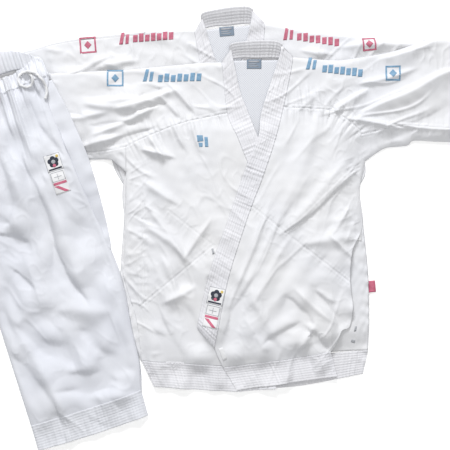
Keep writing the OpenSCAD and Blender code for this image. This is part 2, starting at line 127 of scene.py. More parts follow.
def foldHeight(x, y, folds):
    # each fold is a ridge along a line that bows sideways; its profile is a cusp with soft feet,
    # steeper on one side by lean, and it dies out past both ends
    z = np.zeros(x.shape)
    for x0, y0, x1, y1, wide, tall, bow, lean in folds:
        tall = tall * laid["folds"] * (0.85 if tall < 0 else 1)
        ax, ay, dx, dy = x0 * mm, y0 * mm, (x1 - x0) * mm, (y1 - y0) * mm
        n = np.hypot(dx, dy)
        t = ((x - ax) * dx + (y - ay) * dy) / n**2
        mid = 1 - (2 * np.clip(t, 0, 1) - 1) ** 2
        q = (((y - ay) * dx - (x - ax) * dy) / n - bow * mm * mid) / (wide * mm * (0.6 + 0.4 * mid))
        q = q * (1 + lean * np.tanh(2 * q))
        z += tall * mm / (1 + 1.2 * q * q) ** 1.5 * smooth(2 * t + 0.5) * smooth(2.5 - 2 * t)
    return z


def gridQuads(rows, cols, closed=False):
    # the corners of every cell in a grid of points; closed joins the last column to the first
    vertex = np.arange(rows * cols).reshape(rows, cols)
    if closed:
        vertex = np.hstack([vertex, vertex[:, :1]])
    return np.stack([vertex[:-1, :-1], vertex[:-1, 1:], vertex[1:, 1:], vertex[1:, :-1]], -1).reshape(-1, 4)


def faceMesh(name, points, quads, material, uv, painted_groove_shade=None):
    # the painted shade at each point, from 0 to 1, is how deep it lies between rows of stitches
    mesh = bpy.data.meshes.new(name)
    mesh.vertices.add(len(points))
    mesh.vertices.foreach_set("co", np.asarray(points, float).ravel())
    size = quads.shape[1]
    mesh.loops.add(quads.size)
    mesh.loops.foreach_set("vertex_index", quads.ravel())
    mesh.polygons.add(len(quads))
    mesh.polygons.foreach_set("loop_start", np.arange(len(quads)) * size)
    mesh.polygons.foreach_set("use_smooth", np.ones(len(quads), bool))
    mesh.update()
    layer = mesh.uv_layers.new(name="cloth")
    layer.data.foreach_set("uv", uv.reshape(-1, 2)[quads.ravel()].ravel())
    if painted_groove_shade is not None:
        mesh.attributes.new("painted_groove_shade", "FLOAT", "POINT").data.foreach_set("value", painted_groove_shade.ravel())
    mesh.validate()
    piece = bpy.data.objects.new(name, mesh)
    bpy.context.collection.objects.link(piece)
    mesh.materials.append(material)
    return piece


# in metres: the camera looks straight down, and sees "across" at the level of the cloth
view = {"height": 2.6, "clothAt": 0.02, "across": 1.08, "over": (-0.0434, 0.0113)}
camera = bpy.data.objects.new("camera", bpy.data.cameras.new("camera"))
camera.location = (*view["over"], view["height"])
camera.data.angle = 2 * np.arctan(view["across"] / 2 / (view["height"] - view["clothAt"]))
bpy.context.collection.objects.link(camera)
bpy.context.scene.camera = camera


def newMaterial(name, roughness=0.8, sheen=0.25):
    material = bpy.data.materials.new(name)
    material.use_nodes = True
    tree = material.node_tree
    shader = tree.nodes["Principled BSDF"]
    shader.inputs["Roughness"].default_value = roughness
    shader.inputs["Sheen Weight"].default_value = sheen
    shader.inputs["Sheen Roughness"].default_value = 0.5
    shader.inputs["Specular IOR Level"].default_value = 0.25
    return material, tree, shader


def node(tree, kind, inputs=None, **settings):
    made = tree.nodes.new("ShaderNode" + kind)
    for key, value in settings.items():
        setattr(made, key, value)
    for key, value in (inputs or {}).items():
        if isinstance(value, bpy.types.NodeSocket):
            tree.links.new(value, made.inputs[key])
        else:
            made.inputs[key].default_value = value
    return made


def calc(tree, operation, a, b=0.5):
    return node(tree, "Math", {0: a, 1: b}, operation=operation).outputs[0]


def mixColour(tree, amount, a, b):
    a, b = ((*v, 1) if isinstance(v, tuple) else v for v in (a, b))
    return node(tree, "Mix", {0: amount, 6: a, 7: b}, data_type="RGBA").outputs[2]


def clothMaterial(name, colour, cool, threadMm, relief, kind="twill", roughness=0.8):
    # a woven cloth: threads along both ways of its own UV, in metres, with slow drifts of tint, faint slubs, and
    # paler worn places; a plain cloth also gets painted shade between its rows of stitches
    material, tree, shader = newMaterial(name, roughness)
    uv = node(tree, "UVMap", uv_map="cloth").outputs[0]
    part = node(tree, "SeparateXYZ", {0: uv})
    turns = 2 * np.pi / (threadMm * mm)
    across = calc(tree, "SINE", calc(tree, "MULTIPLY", part.outputs[0], turns))
    down = calc(tree, "SINE", calc(tree, "MULTIPLY", part.outputs[1], turns))
    if kind == "twill":
        slope = calc(tree, "ADD", part.outputs[0], part.outputs[1])
        weave = calc(tree, "ADD", calc(tree, "SINE", calc(tree, "MULTIPLY", slope, turns)),
                     calc(tree, "MULTIPLY", across, 0.35))
    else:
        weave = calc(tree, "MULTIPLY", across, down)
    slub = node(tree, "TexNoise", {"Vector": uv, "Scale": 420.0, "Detail": 2.0}).outputs["Fac"]
    drift = node(tree, "TexNoise", {"Vector": uv, "Scale": 5.0, "Detail": 3.0}).outputs["Fac"]
    drift = calc(tree, "SUBTRACT", calc(tree, "MULTIPLY", drift, 2.4), 0.7)
    tinted = mixColour(tree, drift, colour, cool)
    darker = tuple(0.93 * v for v in colour)
    shade = calc(tree, "ADD", calc(tree, "MULTIPLY", slub, 0.5), calc(tree, "MULTIPLY", weave, 0.12))
    wear_and_groove_shade = mixColour(tree, calc(tree, "MULTIPLY", shade, 0.6), tinted, darker)
    if kind == "plain":
        # painted shade: a plain cloth is darkened towards a deep cool grey where its point attribute marks it
        # deep between rows of stitches
        deep = node(tree, "Attribute", attribute_name="painted_groove_shade").outputs["Fac"]
        wear_and_groove_shade = mixColour(tree, calc(tree, "MULTIPLY", deep, 0.30), wear_and_groove_shade, tuple(0.45 * v for v in cool))
    tree.links.new(wear_and_groove_shade, shader.inputs["Base Color"])
    rough = calc(tree, "ADD", calc(tree, "MULTIPLY", slub, 0.12), roughness - 0.06)
    tree.links.new(rough, shader.inputs["Roughness"])
    high = calc(tree, "ADD", calc(tree, "MULTIPLY", weave, 0.5), slub)
    bump = node(tree, "Bump", {"Height": high, "Strength": relief, "Distance": 0.0002})
    tree.links.new(bump.outputs[0], shader.inputs["Normal"])
    return material


def meshMaterial(name, colour, hole, pitchMm):
    # open mesh lining: rows of round holes set on the slant
    material, tree, shader = newMaterial(name)
    uv = node(tree, "UVMap", uv_map="cloth").outputs[0]
    part = node(tree, "SeparateXYZ", {0: uv})
    turns = np.pi / (pitchMm * mm)
    slants = (calc(tree, way, part.outputs[0], part.outputs[1]) for way in ("ADD", "SUBTRACT"))
    one, two = (calc(tree, "SINE", calc(tree, "MULTIPLY", slant, turns)) for slant in slants)
    dot = calc(tree, "MULTIPLY", calc(tree, "MULTIPLY", one, one), calc(tree, "MULTIPLY", two, two))
    edge = calc(tree, "MULTIPLY", calc(tree, "SUBTRACT", dot, 0.35), 3.0)
    edge = calc(tree, "MINIMUM", calc(tree, "MAXIMUM", edge, 0.0), 1.0)
    tree.links.new(mixColour(tree, edge, colour, hole), shader.inputs["Base Color"])
    high = calc(tree, "SUBTRACT", 1.0, edge)
    bump = node(tree, "Bump", {"Height": high, "Strength": 0.5, "Distance": 0.0004})
    tree.links.new(bump.outputs[0], shader.inputs["Normal"])
    return material


def threadMaterial(name, colour, light, turnDegrees=0):
    # satin stitches that lie side by side: fine ridges, 0.9 mm apart, across the way they run
    material, tree, shader = newMaterial(name, 0.45, 0.1)
    uv = node(tree, "UVMap", uv_map="cloth").outputs[0]
    part = node(tree, "SeparateXYZ", {0: uv})
    a = np.radians(turnDegrees)
    lane = calc(tree, "ADD", calc(tree, "MULTIPLY", part.outputs[0], float(np.cos(a))),
                calc(tree, "MULTIPLY", part.outputs[1], float(np.sin(a))))
    ridge = calc(tree, "SINE", calc(tree, "MULTIPLY", lane, 2 * np.pi / (0.9 * mm)))
    noise = node(tree, "TexNoise", {"Vector": uv, "Scale": 160.0, "Detail": 2.0}).outputs["Fac"]
    tree.links.new(mixColour(tree, noise, colour, light), shader.inputs["Base Color"])
    bump = node(tree, "Bump", {"Height": ridge, "Strength": 0.4, "Distance": 0.0003})
    tree.links.new(bump.outputs[0], shader.inputs["Normal"])
    return material


# each cloth or thread: its colour, and the one that it drifts to
colours = {"jacket": ((0.645, 0.645, 0.655), (0.61, 0.618, 0.65)),
           "trousers": ((0.605, 0.615, 0.65), (0.58, 0.595, 0.65)),
           "band": ((0.665, 0.662, 0.685), (0.635, 0.638, 0.675)),
           "trouserBand": ((0.655, 0.665, 0.70), (0.63, 0.645, 0.695)),
           "tape": ((0.67, 0.67, 0.68), (0.64, 0.645, 0.66)),
           # the lining is darker than the jacket cloth: painted shade inside the neck
           "lining": ((0.59, 0.60, 0.63), (0.40, 0.42, 0.47)),
           "label": ((0.14, 0.18, 0.24), (0.20, 0.25, 0.31)),
           "dark": ((0.02, 0.025, 0.04), (0.035, 0.04, 0.07)),
           "grey": ((0.36, 0.37, 0.39), (0.30, 0.31, 0.34)), "blue": ((0.09, 0.21, 0.35), (0.26, 0.40, 0.53)),
           "red": ((0.37, 0.05, 0.11), (0.54, 0.21, 0.27)), "pink": ((0.46, 0.06, 0.13), (0.56, 0.20, 0.27)),
           "gold": ((0.55, 0.40, 0.08), (0.66, 0.52, 0.2))}
jacketCloth = clothMaterial("jacketCloth", *colours["jacket"], 1.1, 0.25)
trouserCloth = clothMaterial("trouserCloth", *colours["trousers"], 1.0, 0.22)
bandCloth = clothMaterial("bandCloth", *colours["band"], 1.2, 0.35, "plain")
trouserBand = clothMaterial("trouserBand", *colours["trouserBand"], 1.2, 0.35, "plain")
tapeCloth = clothMaterial("tapeCloth", *colours["tape"], 1.4, 0.5, "plain")
lining = meshMaterial("meshLining", *colours["lining"], 5.6)
labelCloth = clothMaterial("labelCloth", *colours["label"], 0.7, 0.3, "plain", 0.6)
darkPatch = clothMaterial("darkPatch", *colours["dark"], 0.8, 0.5, "plain", 0.65)
greyPatch = clothMaterial("greyPatch", *colours["grey"], 0.8, 0.5, "plain", 0.65)
blueThread = threadMaterial("blueThread", *colours["blue"], 30)
redThread = threadMaterial("redThread", *colours["red"], 30)
pinkThread = threadMaterial("pinkThread", *colours["pink"])
goldThread = threadMaterial("goldThread", *colours["gold"])
print("materials made")

# where: how far its own origin lies from the middle of the set, in mm, and its turn in degrees
blue = {"name": "blue", "where": (31, 412), "turn": 0, "drop": (-48, 42), "seed": 3, "own": {},
        "leftMark": (133, -14), "leftBar": ((158, -25), (258, -37)), "leftBox": (328, -37, 18),
        "rightMark": (-258, -42), "rightBar": ((-236, -49), (-128, -46)), "rightBox": (-338, -48, 20)}
red = {"name": "red", "where": (-36, 493), "turn": 5, "drop": (108, 24), "seed": 11,
       "leftMark": (143, -34), "leftBar": ((162, -41), (266, -66)), "leftBox": (334, -76, 16),
       "rightMark": (-252, -10), "rightBar": ((-232, -12), (-131, -14)), "rightBox": (-341, -18, 20),
       "own": {"leftTop": [(89, -4), (150, -20), (265, -46), (408, -68), (527, -82), (640, -96), (718, -108)],
               "rightTop": [(-82, 2), (-122, 5), (-243, 3), (-357, 1), (-422, -5), (-486, -18), (-551, -22),
                            (-640, -26), (-719, -30)],
               "rightSide": [(-306, -262), (-276, -390), (-272, -509), (-262, -629), (-262, -728)]}}
trousers = {"where": (-473, 412), "turn": 18, "seed": 7}


def toWorld(points, garment):
    # turned about its origin, then moved; points are in metres in the garment's own frame
    a = np.radians(garment["turn"])
    x, y = points[..., 0], points[..., 1]
    out = np.array(points, float)
    out[..., 0] = x * np.cos(a) - y * np.sin(a) + garment["where"][0] * mm
    out[..., 1] = x * np.sin(a) + y * np.cos(a) + garment["where"][1] * mm
    return out


def fromWorld(x, y, garment):
    a = np.radians(garment["turn"])
    x, y = x - garment["where"][0] * mm, y - garment["where"][1] * mm
    return x * np.cos(a) + y * np.sin(a), -x * np.sin(a) + y * np.cos(a)


def insideOf(x, y, garment, other):
    # how deep a place in one garment's frame lies inside another's outline
    wx, wy = np.moveaxis(toWorld(np.stack([x, y], -1), garment), -1, 0)
    return depthInside(*fromWorld(wx, wy, other), other["outline"])


# the jacket pattern, in mm: the shoulder line is y = 0 and the wearer's left is +x
pattern = {
    "leftTop": [(89, 2), (202, -5), (317, 14), (370, 30), (422, 50), (466, 48), (600, 44), (718, 39)],
    "rightTop": [(-82, -10), (-122, -10), (-302, -26), (-492, -36), (-640, -42), (-719, -46)],
    "leftYoke": [(66, -118), (106, -120), (178, -125), (214, -144), (242, -166), (254, -182)],
    "leftArm": [(254, -182), (300, -172), (358, -161), (466, -168), (600, -176), (718, -184)],
    "rightYoke": [(-69, -132), (-168, -153), (-240, -179), (-281, -196), (-312, -212)],
    "rightArm": [(-312, -212), (-362, -222), (-470, -228), (-600, -234), (-719, -240)],
    "leftUnder": [(264, -247), (293, -226), (317, -214), (365, -209), (384, -197), (466, -200), (600, -197),
                  (718, -193)],
    "rightUnder": [(-312, -275), (-340, -250), (-362, -242), (-470, -246), (-600, -256), (-719, -266)],
    "leftOuter": [(89, 2), (82, -41), (66, -118), (46, -197), (14, -293), (-10, -355), (-38, -437),
                  (-67, -533),
                  (-91, -653), (-99, -694)],
    "leftInner": [(60, 30), (53, -5), (14, -125), (5, -190), (-22, -257), (-43, -317), (-67, -389),
                  (-98, -473),
                  (-122, -557), (-142, -646)],
    "rightOuter": [(-82, -10), (-69, -132), (-45, -190), (-25, -240), (10, -320), (40, -400), (62, -480),
                   (85, -570),
                   (98, -640), (104, -690)],
    "rightInner": [(-60, 22), (-38, -77), (-22, -120), (5, -190), (30, -240), (62, -320), (90, -400),
                   (110, -480),
                   (130, -570), (144, -646)],
    "leftSide": [(264, -247), (250, -317), (262, -432), (271, -542), (271, -703)],
    "rightSide": [(-312, -275), (-316, -390), (-322, -509), (-288, -629), (-276, -728)],
    "rightBack": [(-312, -275), (-318, -390), (-327, -509), (-326, -560), (-308, -640), (-278, -728)],
    "leftVent": [(264, -247), (250, -317), (258, -400), (230, -466), (226, -540), (232, -593), (226, -643),
                 (206, -655),
                 (194, -686), (180, -705)],
}


def forJacket(key, jacket):
    # the sleeves hang lower or higher with the cuffs: y drops evenly from beside the neck to the cuff
    if key in jacket["own"]:
        return np.array(jacket["own"][key], float)
    p = np.array(pattern[key], float)
    left, right = jacket["drop"][0] + 48, jacket["drop"][1] - 42
    fall = np.where(p[:, 0] > 0, left, right)
    p[:, 1] -= fall * np.clip(np.abs(p[:, 0]) - 60, 0, None) / 690
    return p


def outlineOf(jacket):
    get = {key: forJacket(key, jacket) for key in pattern}
    hem, neck = [(259, -760), (-46, -799), (-245, -790)], [(-58, 33), (0, 38), (60, 34)]
    return np.vstack([get["leftTop"], get["leftUnder"][::-1], get["leftSide"][1:], hem,
                      get["rightSide"][::-1],
                      get["rightUnder"], get["rightTop"][::-1], neck]) * mm


for jacket in (red, blue):
    jacket["outline"] = outlineOf(jacket)
    lines = {key: forJacket(key, jacket) * mm for key in pattern}
    jacket["line"] = lines
    # the edges where the two layers join, carried on past the cuffs, and the ones that lie open
    pastCuff = {key: lines[key][-1:] + (35 * mm * np.sign(lines[key][-1, 0]), 0) for key in lines}
    jacket["shut"] = [np.vstack([lines[side + "Top"], pastCuff[side + "Top"]]) for side in ("left", "right")]
    jacket["shut"] += [np.vstack([pastCuff[side + "Under"], lines[side + "Under"][::-1],
                                  lines[side + "Side"][1:3]])
                       for side in ("left", "right")]
    jacket["open"] = [np.vstack([lines["leftVent"][2:], [(106 * mm, -0.722), (-79 * mm, -0.744)]]),
                      np.vstack([lines["rightSide"][2:], [(-40 * mm, -0.742)]])]

# the legs' two sides, in mm, and the same carried on past the waist and the hem
trousers["left"] = np.array([(-222, -42), (-238, -74), (-268, -130), (-296, -190), (-307, -270), (-308, -560),
                             (-309, -700), (-310, -837)]) * mm
trousers["right"] = np.array([(-2, -42), (-26, -100), (-22, -175), (-10, -331), (2, -449), (8, -564),
                              (-6, -682),
                              (-14, -770), (-32, -837)]) * mm
trousers["sides"] = [np.vstack([[(-0.222, 0.06)], trousers["left"], [(-0.313, -0.93)]]),
                     np.vstack([[(0.002, 0.06)], trousers["right"], [(-0.035, -0.93)]])]
trousers["outline"] = np.vstack([trousers["sides"][0], trousers["sides"][1][::-1]])

# every fold is x0, y0, x1, y1, width, height, bow, lean, in mm; a valley has a height below 0
blueFolds = [
    (310, 5, 432, 58, 20, 11, 0, .5), (254, -62, 370, -29, 11, 6, 0, 0), (278, -130, 478, -34, 16, 11, 8, .5),
    (187, -134, 264, -82, 11, 7, 0, .4), (226, -158, 341, -168, 9, 6, 0, 0),
    (346, -158, 490, -173, 8, 4, 0, 0), (106, -62, 113, -125, 6, 4, 0, 0), (127, -62, 130, -125, 6, 4, 0, 0),
    (149, -72, 158, -130, 6, 3, 0, 0), (149, -144, 67, -353, 24, 4, 0, 0),
    (202, -257, 101, -374, 18, 4, 0, 0), (240, -269, 82, -408, 12, 6, 0, .4),
    (226, -427, 125, -446, 20, 7, -6, 0), (230, -365, 178, -418, 10, 4, 0, 0),
    (230, -475, 178, -427, 10, 5, 0, 0), (106, -562, 178, -624, 14, 6, 0, 0),
    (134, -634, 101, -696, 13, 6, 0, 0), (190, -581, 149, -557, 10, 4, 0, 0),
    (5, -677, 29, -706, 12, 3, 0, 0), (67, -370, -72, -634, 14, 4, 0, 0), (29, -353, -58, -581, 10, 4, 0, 0),
    (86, -437, -24, -605, 16, 3.5, 0, 0), (-322, -115, -216, -82, 14, 9, -5, .3),
    (-379, -178, -250, -122, 11, 7, 0, 0), (-362, -101, -290, -96, 10, 4, 0, 0),
    (-158, -130, -211, -62, 9, 6, 0, 0), (-187, -144, -230, -96, 8, 5, 0, 0),
    (-432, -221, -336, -187, 12, 7, 0, 0), (-470, -149, -374, -130, 12, 6, 0, 0),
    (-266, -221, -202, -240, 9, 7, 0, 0), (-254, -192, -218, -245, 8, 6, 0, 0),
    (-206, -154, -168, -221, 9, 5, 0, 0), (-168, -144, -134, -221, 9, 4, 0, 0),
    (-262, -298, -192, -346, 12, 5, 0, 0), (-264, -403, -158, -494, 14, 5, 0, 0),
    (-254, -355, -173, -490, 11, 4, 0, 0), (-120, -394, -168, -480, 11, 5, 0, 0),
    (-211, -581, -149, -552, 14, 6, 0, 0), (-230, -490, -187, -557, 12, 5, 0, 0),
    (78, -578, 128, -630, 16, -9, 3, .3), (104, -638, 162, -690, 15, -9, 0, .3),
    (-246, -586, -203, -657, 14, -8, 0, .3), (-64, -632, -10, -535, 18, -6, 0, 0),
    (28, -692, 98, -638, 16, -7, 0, .3), (-162, -598, -122, -694, 20, -7, 0, 0),
    (0, -590, 62, -694, 22, 6, 0, 0), (150, -560, 205, -640, 15, -7, 0, .3),
    (-236, -660, -180, -705, 14, -6, 0, 0), (-388, -161, -294, -155, 9, -6, 4, .4),
    (-358, -210, -252, -173, 10, -7, 4, .3), (-452, -131, -414, -137, 8, -5, 0, 0),
    (-280, -90, -228, -71, 9, -6, 0, .3), (-292, -126, -228, -112, 9, -6, 3, .3),
    (-402, -108, -300, -122, 14, 5, 0, 0), (-345, -60, -270, -52, 13, -4, 3, 0),
    (-420, -85, -350, -76, 12, -4, 0, .3), (380, -150, 470, -120, 12, -5, 3, .3)]
redFolds = [(310, -40, 432, -30, 20, 8, 0, .5), (280, -80, 470, -90, 16, 7, 8, 0),
            (-322, -80, -230, -70, 14, 7, 0, 0), (-420, -90, -300, -60, 12, 6, 0, 0),
            (120, -250, 60, -420, 20, 5, 0, 0), (-150, -260, -200, -460, 20, 5, 0, 0),
            (160, -520, 60, -640, 20, 5, 0, 0), (180, -70, 240, -90, 11, 5, 0, 0)]
trouserFolds = [
    (-142, -80, -128, -255, 13, -7, 3, .3), (-128, -245, -120, -470, 15, -9, 6, .35),
    (-121, -440, -92, -580, 14, -9, -6, .3), (-98, -330, -84, -560, 30, 6, 4, 0),
    (-162, -230, -150, -440, 26, 5, 0, 0), (-66, -85, -62, -180, 11, -7, 0, .3),
    (-62, -160, -34, -235, 12, -6, 0, 0), (-44, -66, -18, -182, 10, -6, 3, 0),
    (-95, -60, -100, -200, 14, 6, 0, 0), (-183, -60, -180, -210, 14, -6, 0, 0),
    (-180, -190, -194, -330, 24, -7, 0, .3), (-235, -372, -183, -406, 12, -6, 2, .5),
    (-228, -328, -205, -352, 12, -5, 0, 0), (-238, -458, -195, -515, 13, -5, 0, .4),
    (-264, -585, -205, -682, 26, -9, 0, .3), (-212, -660, -160, -726, 30, -8, 0, 0),
    (-180, -746, -85, -794, 26, -9, 6, .3), (-214, -776, -98, -806, 14, -5, 0, 0),
    (-124, -648, -94, -700, 20, -5, 0, 0), (-306, -650, -246, -778, 26, -9, 0, .3),
    (-262, -590, -214, -850, 26, 9, 0, 0), (-100, -700, -40, -775, 24, -6, 0, .3),
    (6, -665, -26, -808, 18, -6, 0, 0), (-24, -260, -12, -540, 30, -5, 0, 0),
    (-150, -592, -55, -622, 28, 5, 0, 0), (-192, -420, -178, -580, 30, 5, 0, 0),
    (-237, -800, -240, -895, 10, -6, 0, .5), (-150, -810, -60, -838, 24, 6, 0, 0)]
blue["folds"], red["folds"], trousers["folds"] = blueFolds, redFolds, trouserFolds
blue["seams"] = [np.array(p) * mm for p in (
    [(-10, -355), (70, -418), (228, -540), (232, -545)], [(70, -418), (106, -394), (228, -274), (250, -262)],
    [(-211, -365), (-103, -449), (-283, -599), (-300, -610)], [(-268, -353), (-272, -480), (-268, -593)],
    pattern["leftYoke"], pattern["rightYoke"], pattern["leftArm"], pattern["rightArm"])]
red["seams"] = blue["seams"][:4] + [red["line"][key]
                                    for key in ("leftYoke", "rightYoke", "leftArm", "rightArm")]
# for each of them: its depth, the strength of its puckers, and their reach in mm; the yokes' gather the most
seamLook = [(1.2, pucker, 10) for pucker in (0.8, 0.8, 0.8, 0.5)]
seamLook += [(0.75, pucker, 20) for pucker in (2.2, 1.6, 1.0, 0.8)]
# of the cloth, in mm
thickness = {"panel": 0.9, "band": 2.2}
# how much the folds, the seams and their puckers above are raised, and in mm: the height of the small creases,
# the curl of the left vent, the round of a shut edge, the air under the body, how far the left front rises where
# it laps the right one, the rise at the neck, and the depth of the deepest valley
laid = {"folds": 1.6, "seams": 1.5, "puckers": 1.0, "creases": 1.8, "curl": 6.0, "round": 5.2,
        "air": 6.0, "lap": 3.2, "neck": 5.0, "valley": 2.5}
# heights above the table, in mm: the lowest cloth, and what lies on the red jacket and on the two sleeves
piled = {"table": 1.2, "onRed": 12.0, "onSleeves": 21.4}


def rounded(depth, radius):
    # the round of a soft edge, 0 at it and 1 further in than the radius
    return np.sqrt(np.clip(1 - (1 - np.clip(depth / radius, 0, 1)) ** 2, 0, 1))


def streaks(x, y, degrees, long, short, seed):
    # ripples drawn out along one direction
    a = np.radians(degrees)
    return ripple((x * np.cos(a) + y * np.sin(a)) / long, (-x * np.sin(a) + y * np.cos(a)) / short, 1.0, seed)


def creases(x, y, degrees, long, short, seed):
    # sharp soft-footed lines where the drawn-out ripples pass through zero, strong here and faint there
    line = np.exp(-(streaks(x, y, degrees, long, short, seed) / 0.28) ** 2)
    return line * smooth(0.5 + 0.8 * ripple(x, y, 0.22, seed + 1))


def fine(x, y, seed, ways, onLeft, small=1.0):
    # pulls along the first way, in degrees, on the left and the second on the right, with creases, small buckles
    # and broad swells of a laid cloth
    z = 1.6 * ripple(x, y, 0.2, seed + 2) + 0.30 * small * ripple(x, y, 0.038, seed + 1)
    z = z + 0.9 * small * creases(x, y, 100, 0.07, 0.04, seed + 9)
    for i, share in enumerate((onLeft, 1 - onLeft)):
        lean = (8, -8)[i]
        z = z + 1.5 * share * streaks(x, y, ways[i], 0.17, 0.055, seed + 3 * i)
        z = z + small * laid["creases"] * share * creases(x, y, ways[i] + lean, 0.20, 0.075, seed + 5 + 2 * i)
    return mm * z


def seamRelief(x, y, seams, seed):
    # a groove with a line of stitches on each side, and the little puckers that its thread pulls
    z = np.zeros(x.shape)
    for i, (line, (deep, pucker, reach)) in enumerate(zip(seams, seamLook)):
        s, d = nearest(x, y, line)
        far = np.abs(d)
        stitches = np.exp(-(far / (2.4 * mm)) ** 2) + 0.35 * np.exp(-((far - 8 * mm) / (1.6 * mm)) ** 2)
        pull = wander(s, 0.022, seed + 5 * i) + 0.6 * wander(s, 0.010, seed + 5 * i + 1)
        beside = np.exp(-far / (reach * mm)) * (1 - np.exp(-(far / (3 * mm)) ** 2))
        z += mm * (pucker * laid["puckers"] * pull * beside - deep * laid["seams"] * stitches)
    return z


def underBlue(x, y):
    # the blue jacket lies on the red one, and sinks to the table past its edges
    return mm * (piled["table"] + piled["onRed"] * smooth((insideOf(x, y, blue, red) + 0.045) / 0.055))


def pressed(x, y, jacket):
    # 0 in the open and 1 where the trousers lie on a sleeve
    return smooth((insideOf(x, y, jacket, trousers) + 0.012) / 0.02)


def support(x, y, jacket):
    return underBlue(x, y) if jacket is blue else np.full(x.shape, piled["table"] * mm)


def backHeight(x, y, jacket):
    # flat, but for puckers beside its side edges
    side = toNearest(x, y, [jacket["line"][key] for key in ("leftSide", "rightBack")])
    bumps = np.maximum(1 + ripple(x, y, 0.022, jacket["seed"] + 70), 0)
    return support(x, y, jacket) + 1.8 * mm * bumps * np.exp(-side / 0.03) * smooth((-0.30 - y) / 0.1)


def bodyHeight(x, y, jacket, over):
    # the upper layer: round at its shut edges, low at its open ones, with folds, pulls and seams;
    # over is 1 for the left front, which lies on the right one
    seed = jacket["seed"]
    shut, loose = toNearest(x, y, jacket["shut"]), toNearest(x, y, jacket["open"])
    press = pressed(x, y, jacket)
    calm = (1 - 0.9 * press) * smooth(shut / 0.016)
    if jacket is red:
        # the blue jacket lies on this one and keeps it flat
        calm = calm * (1 - 0.8 * smooth(insideOf(x, y, red, blue) / 0.03))
    # the folds wander a little from their drawn lines, and those of the sleeves run another way
    wx, wy = x + 0.005 * ripple(x, y, 0.25, seed + 20), y + 0.005 * ripple(x, y, 0.25, seed + 30)
    onLeft = smooth((x + 0.03) / 0.06)
    inBody = smooth((0.27 - np.abs(x)) / 0.06) * smooth((-0.13 - y) / 0.05)
    folds = foldHeight(wx, wy, jacket["folds"]) + inBody * fine(wx, wy, seed, (56, 124), onLeft)
    folds = folds + (1 - inBody) * fine(wx, wy, seed + 50, (22, 158), onLeft, 1.7)
    # gathers along the side seam and the edges, and deeper swells in the skirt
    bumps = ripple(x, y, 0.026, seed + 60)
    folds = folds + 0.5 * mm * bumps * np.exp(-(toNearest(x, y, jacket["seams"][3:4]) / 0.02) ** 2)
    edge = np.exp(-(shut / 0.05) ** 2) * smooth((-0.2 - y) / 0.05)
    folds = folds + mm * edge * (0.8 * bumps + 2.2 * creases(x, y, 25, 0.09, 0.035, seed + 61)
                                 - 2.0 * creases(x, y, 150, 0.08, 0.032, seed + 64))
    swells = 3.6 * streaks(x, y, 62, 0.24, 0.08, seed + 81) + 3.0 * ripple(x, y, 0.09, seed + 82)
    folds = folds + mm * inBody * smooth((-0.42 - y) / 0.15) * swells
    # air under the body gives its valleys room; they flatten softly where they meet the layer below
    air = (laid["air"] * mm if jacket is blue else 0) * inBody * smooth(shut / 0.06)
    air = air * smooth((y + 0.80) / 0.16) * (1 - press) ** 3
    lowest = -laid["valley"] * mm - 0.8 * air
    folds = lowest + mm * np.logaddexp(0, (folds * calm - lowest) / mm) * (1 - press) - lowest * press
    z = laid["round"] * mm * rounded(shut, 0.012) * (0.35 + 0.65 * smooth(loose / 0.05)) * (1 - 0.45 * press)
    z = z + air + folds + seamRelief(x, y, jacket["seams"], seed) * calm
    # the lap, the curled edge of the left vent, and the neck
    s, d = nearest(x, y, jacket["line"]["leftVent"][3:])
    curl = laid["curl"] * np.exp(-(np.abs(d) / 0.011) ** 2) * (0.55 + 0.45 * wander(s, 0.07, 4))
    z = z + over * mm * (laid["lap"] * smooth((0.25 - x) / 0.12) + curl)
    z = z + laid["neck"] * mm * smooth((y + 0.06) / 0.10) * smooth((0.12 - np.abs(x)) / 0.04)
    return support(x, y, jacket) + np.maximum(z, 0) + thickness["panel"] * mm * np.minimum(shut / 0.004, 1)


def trouserDrop(x, y):
    # over the two sleeves at the waist end, and down to the table below them
    return mm * (piled["table"] + piled["onSleeves"] * smooth((y + 0.425) / 0.15))


# for each layer, how high it lies at its edges and how far it rises inside them, in mm
trousers["layers"] = ((0, 0), (0.9, 5.0), (2.0, 6.4), (2.9, 14.6))


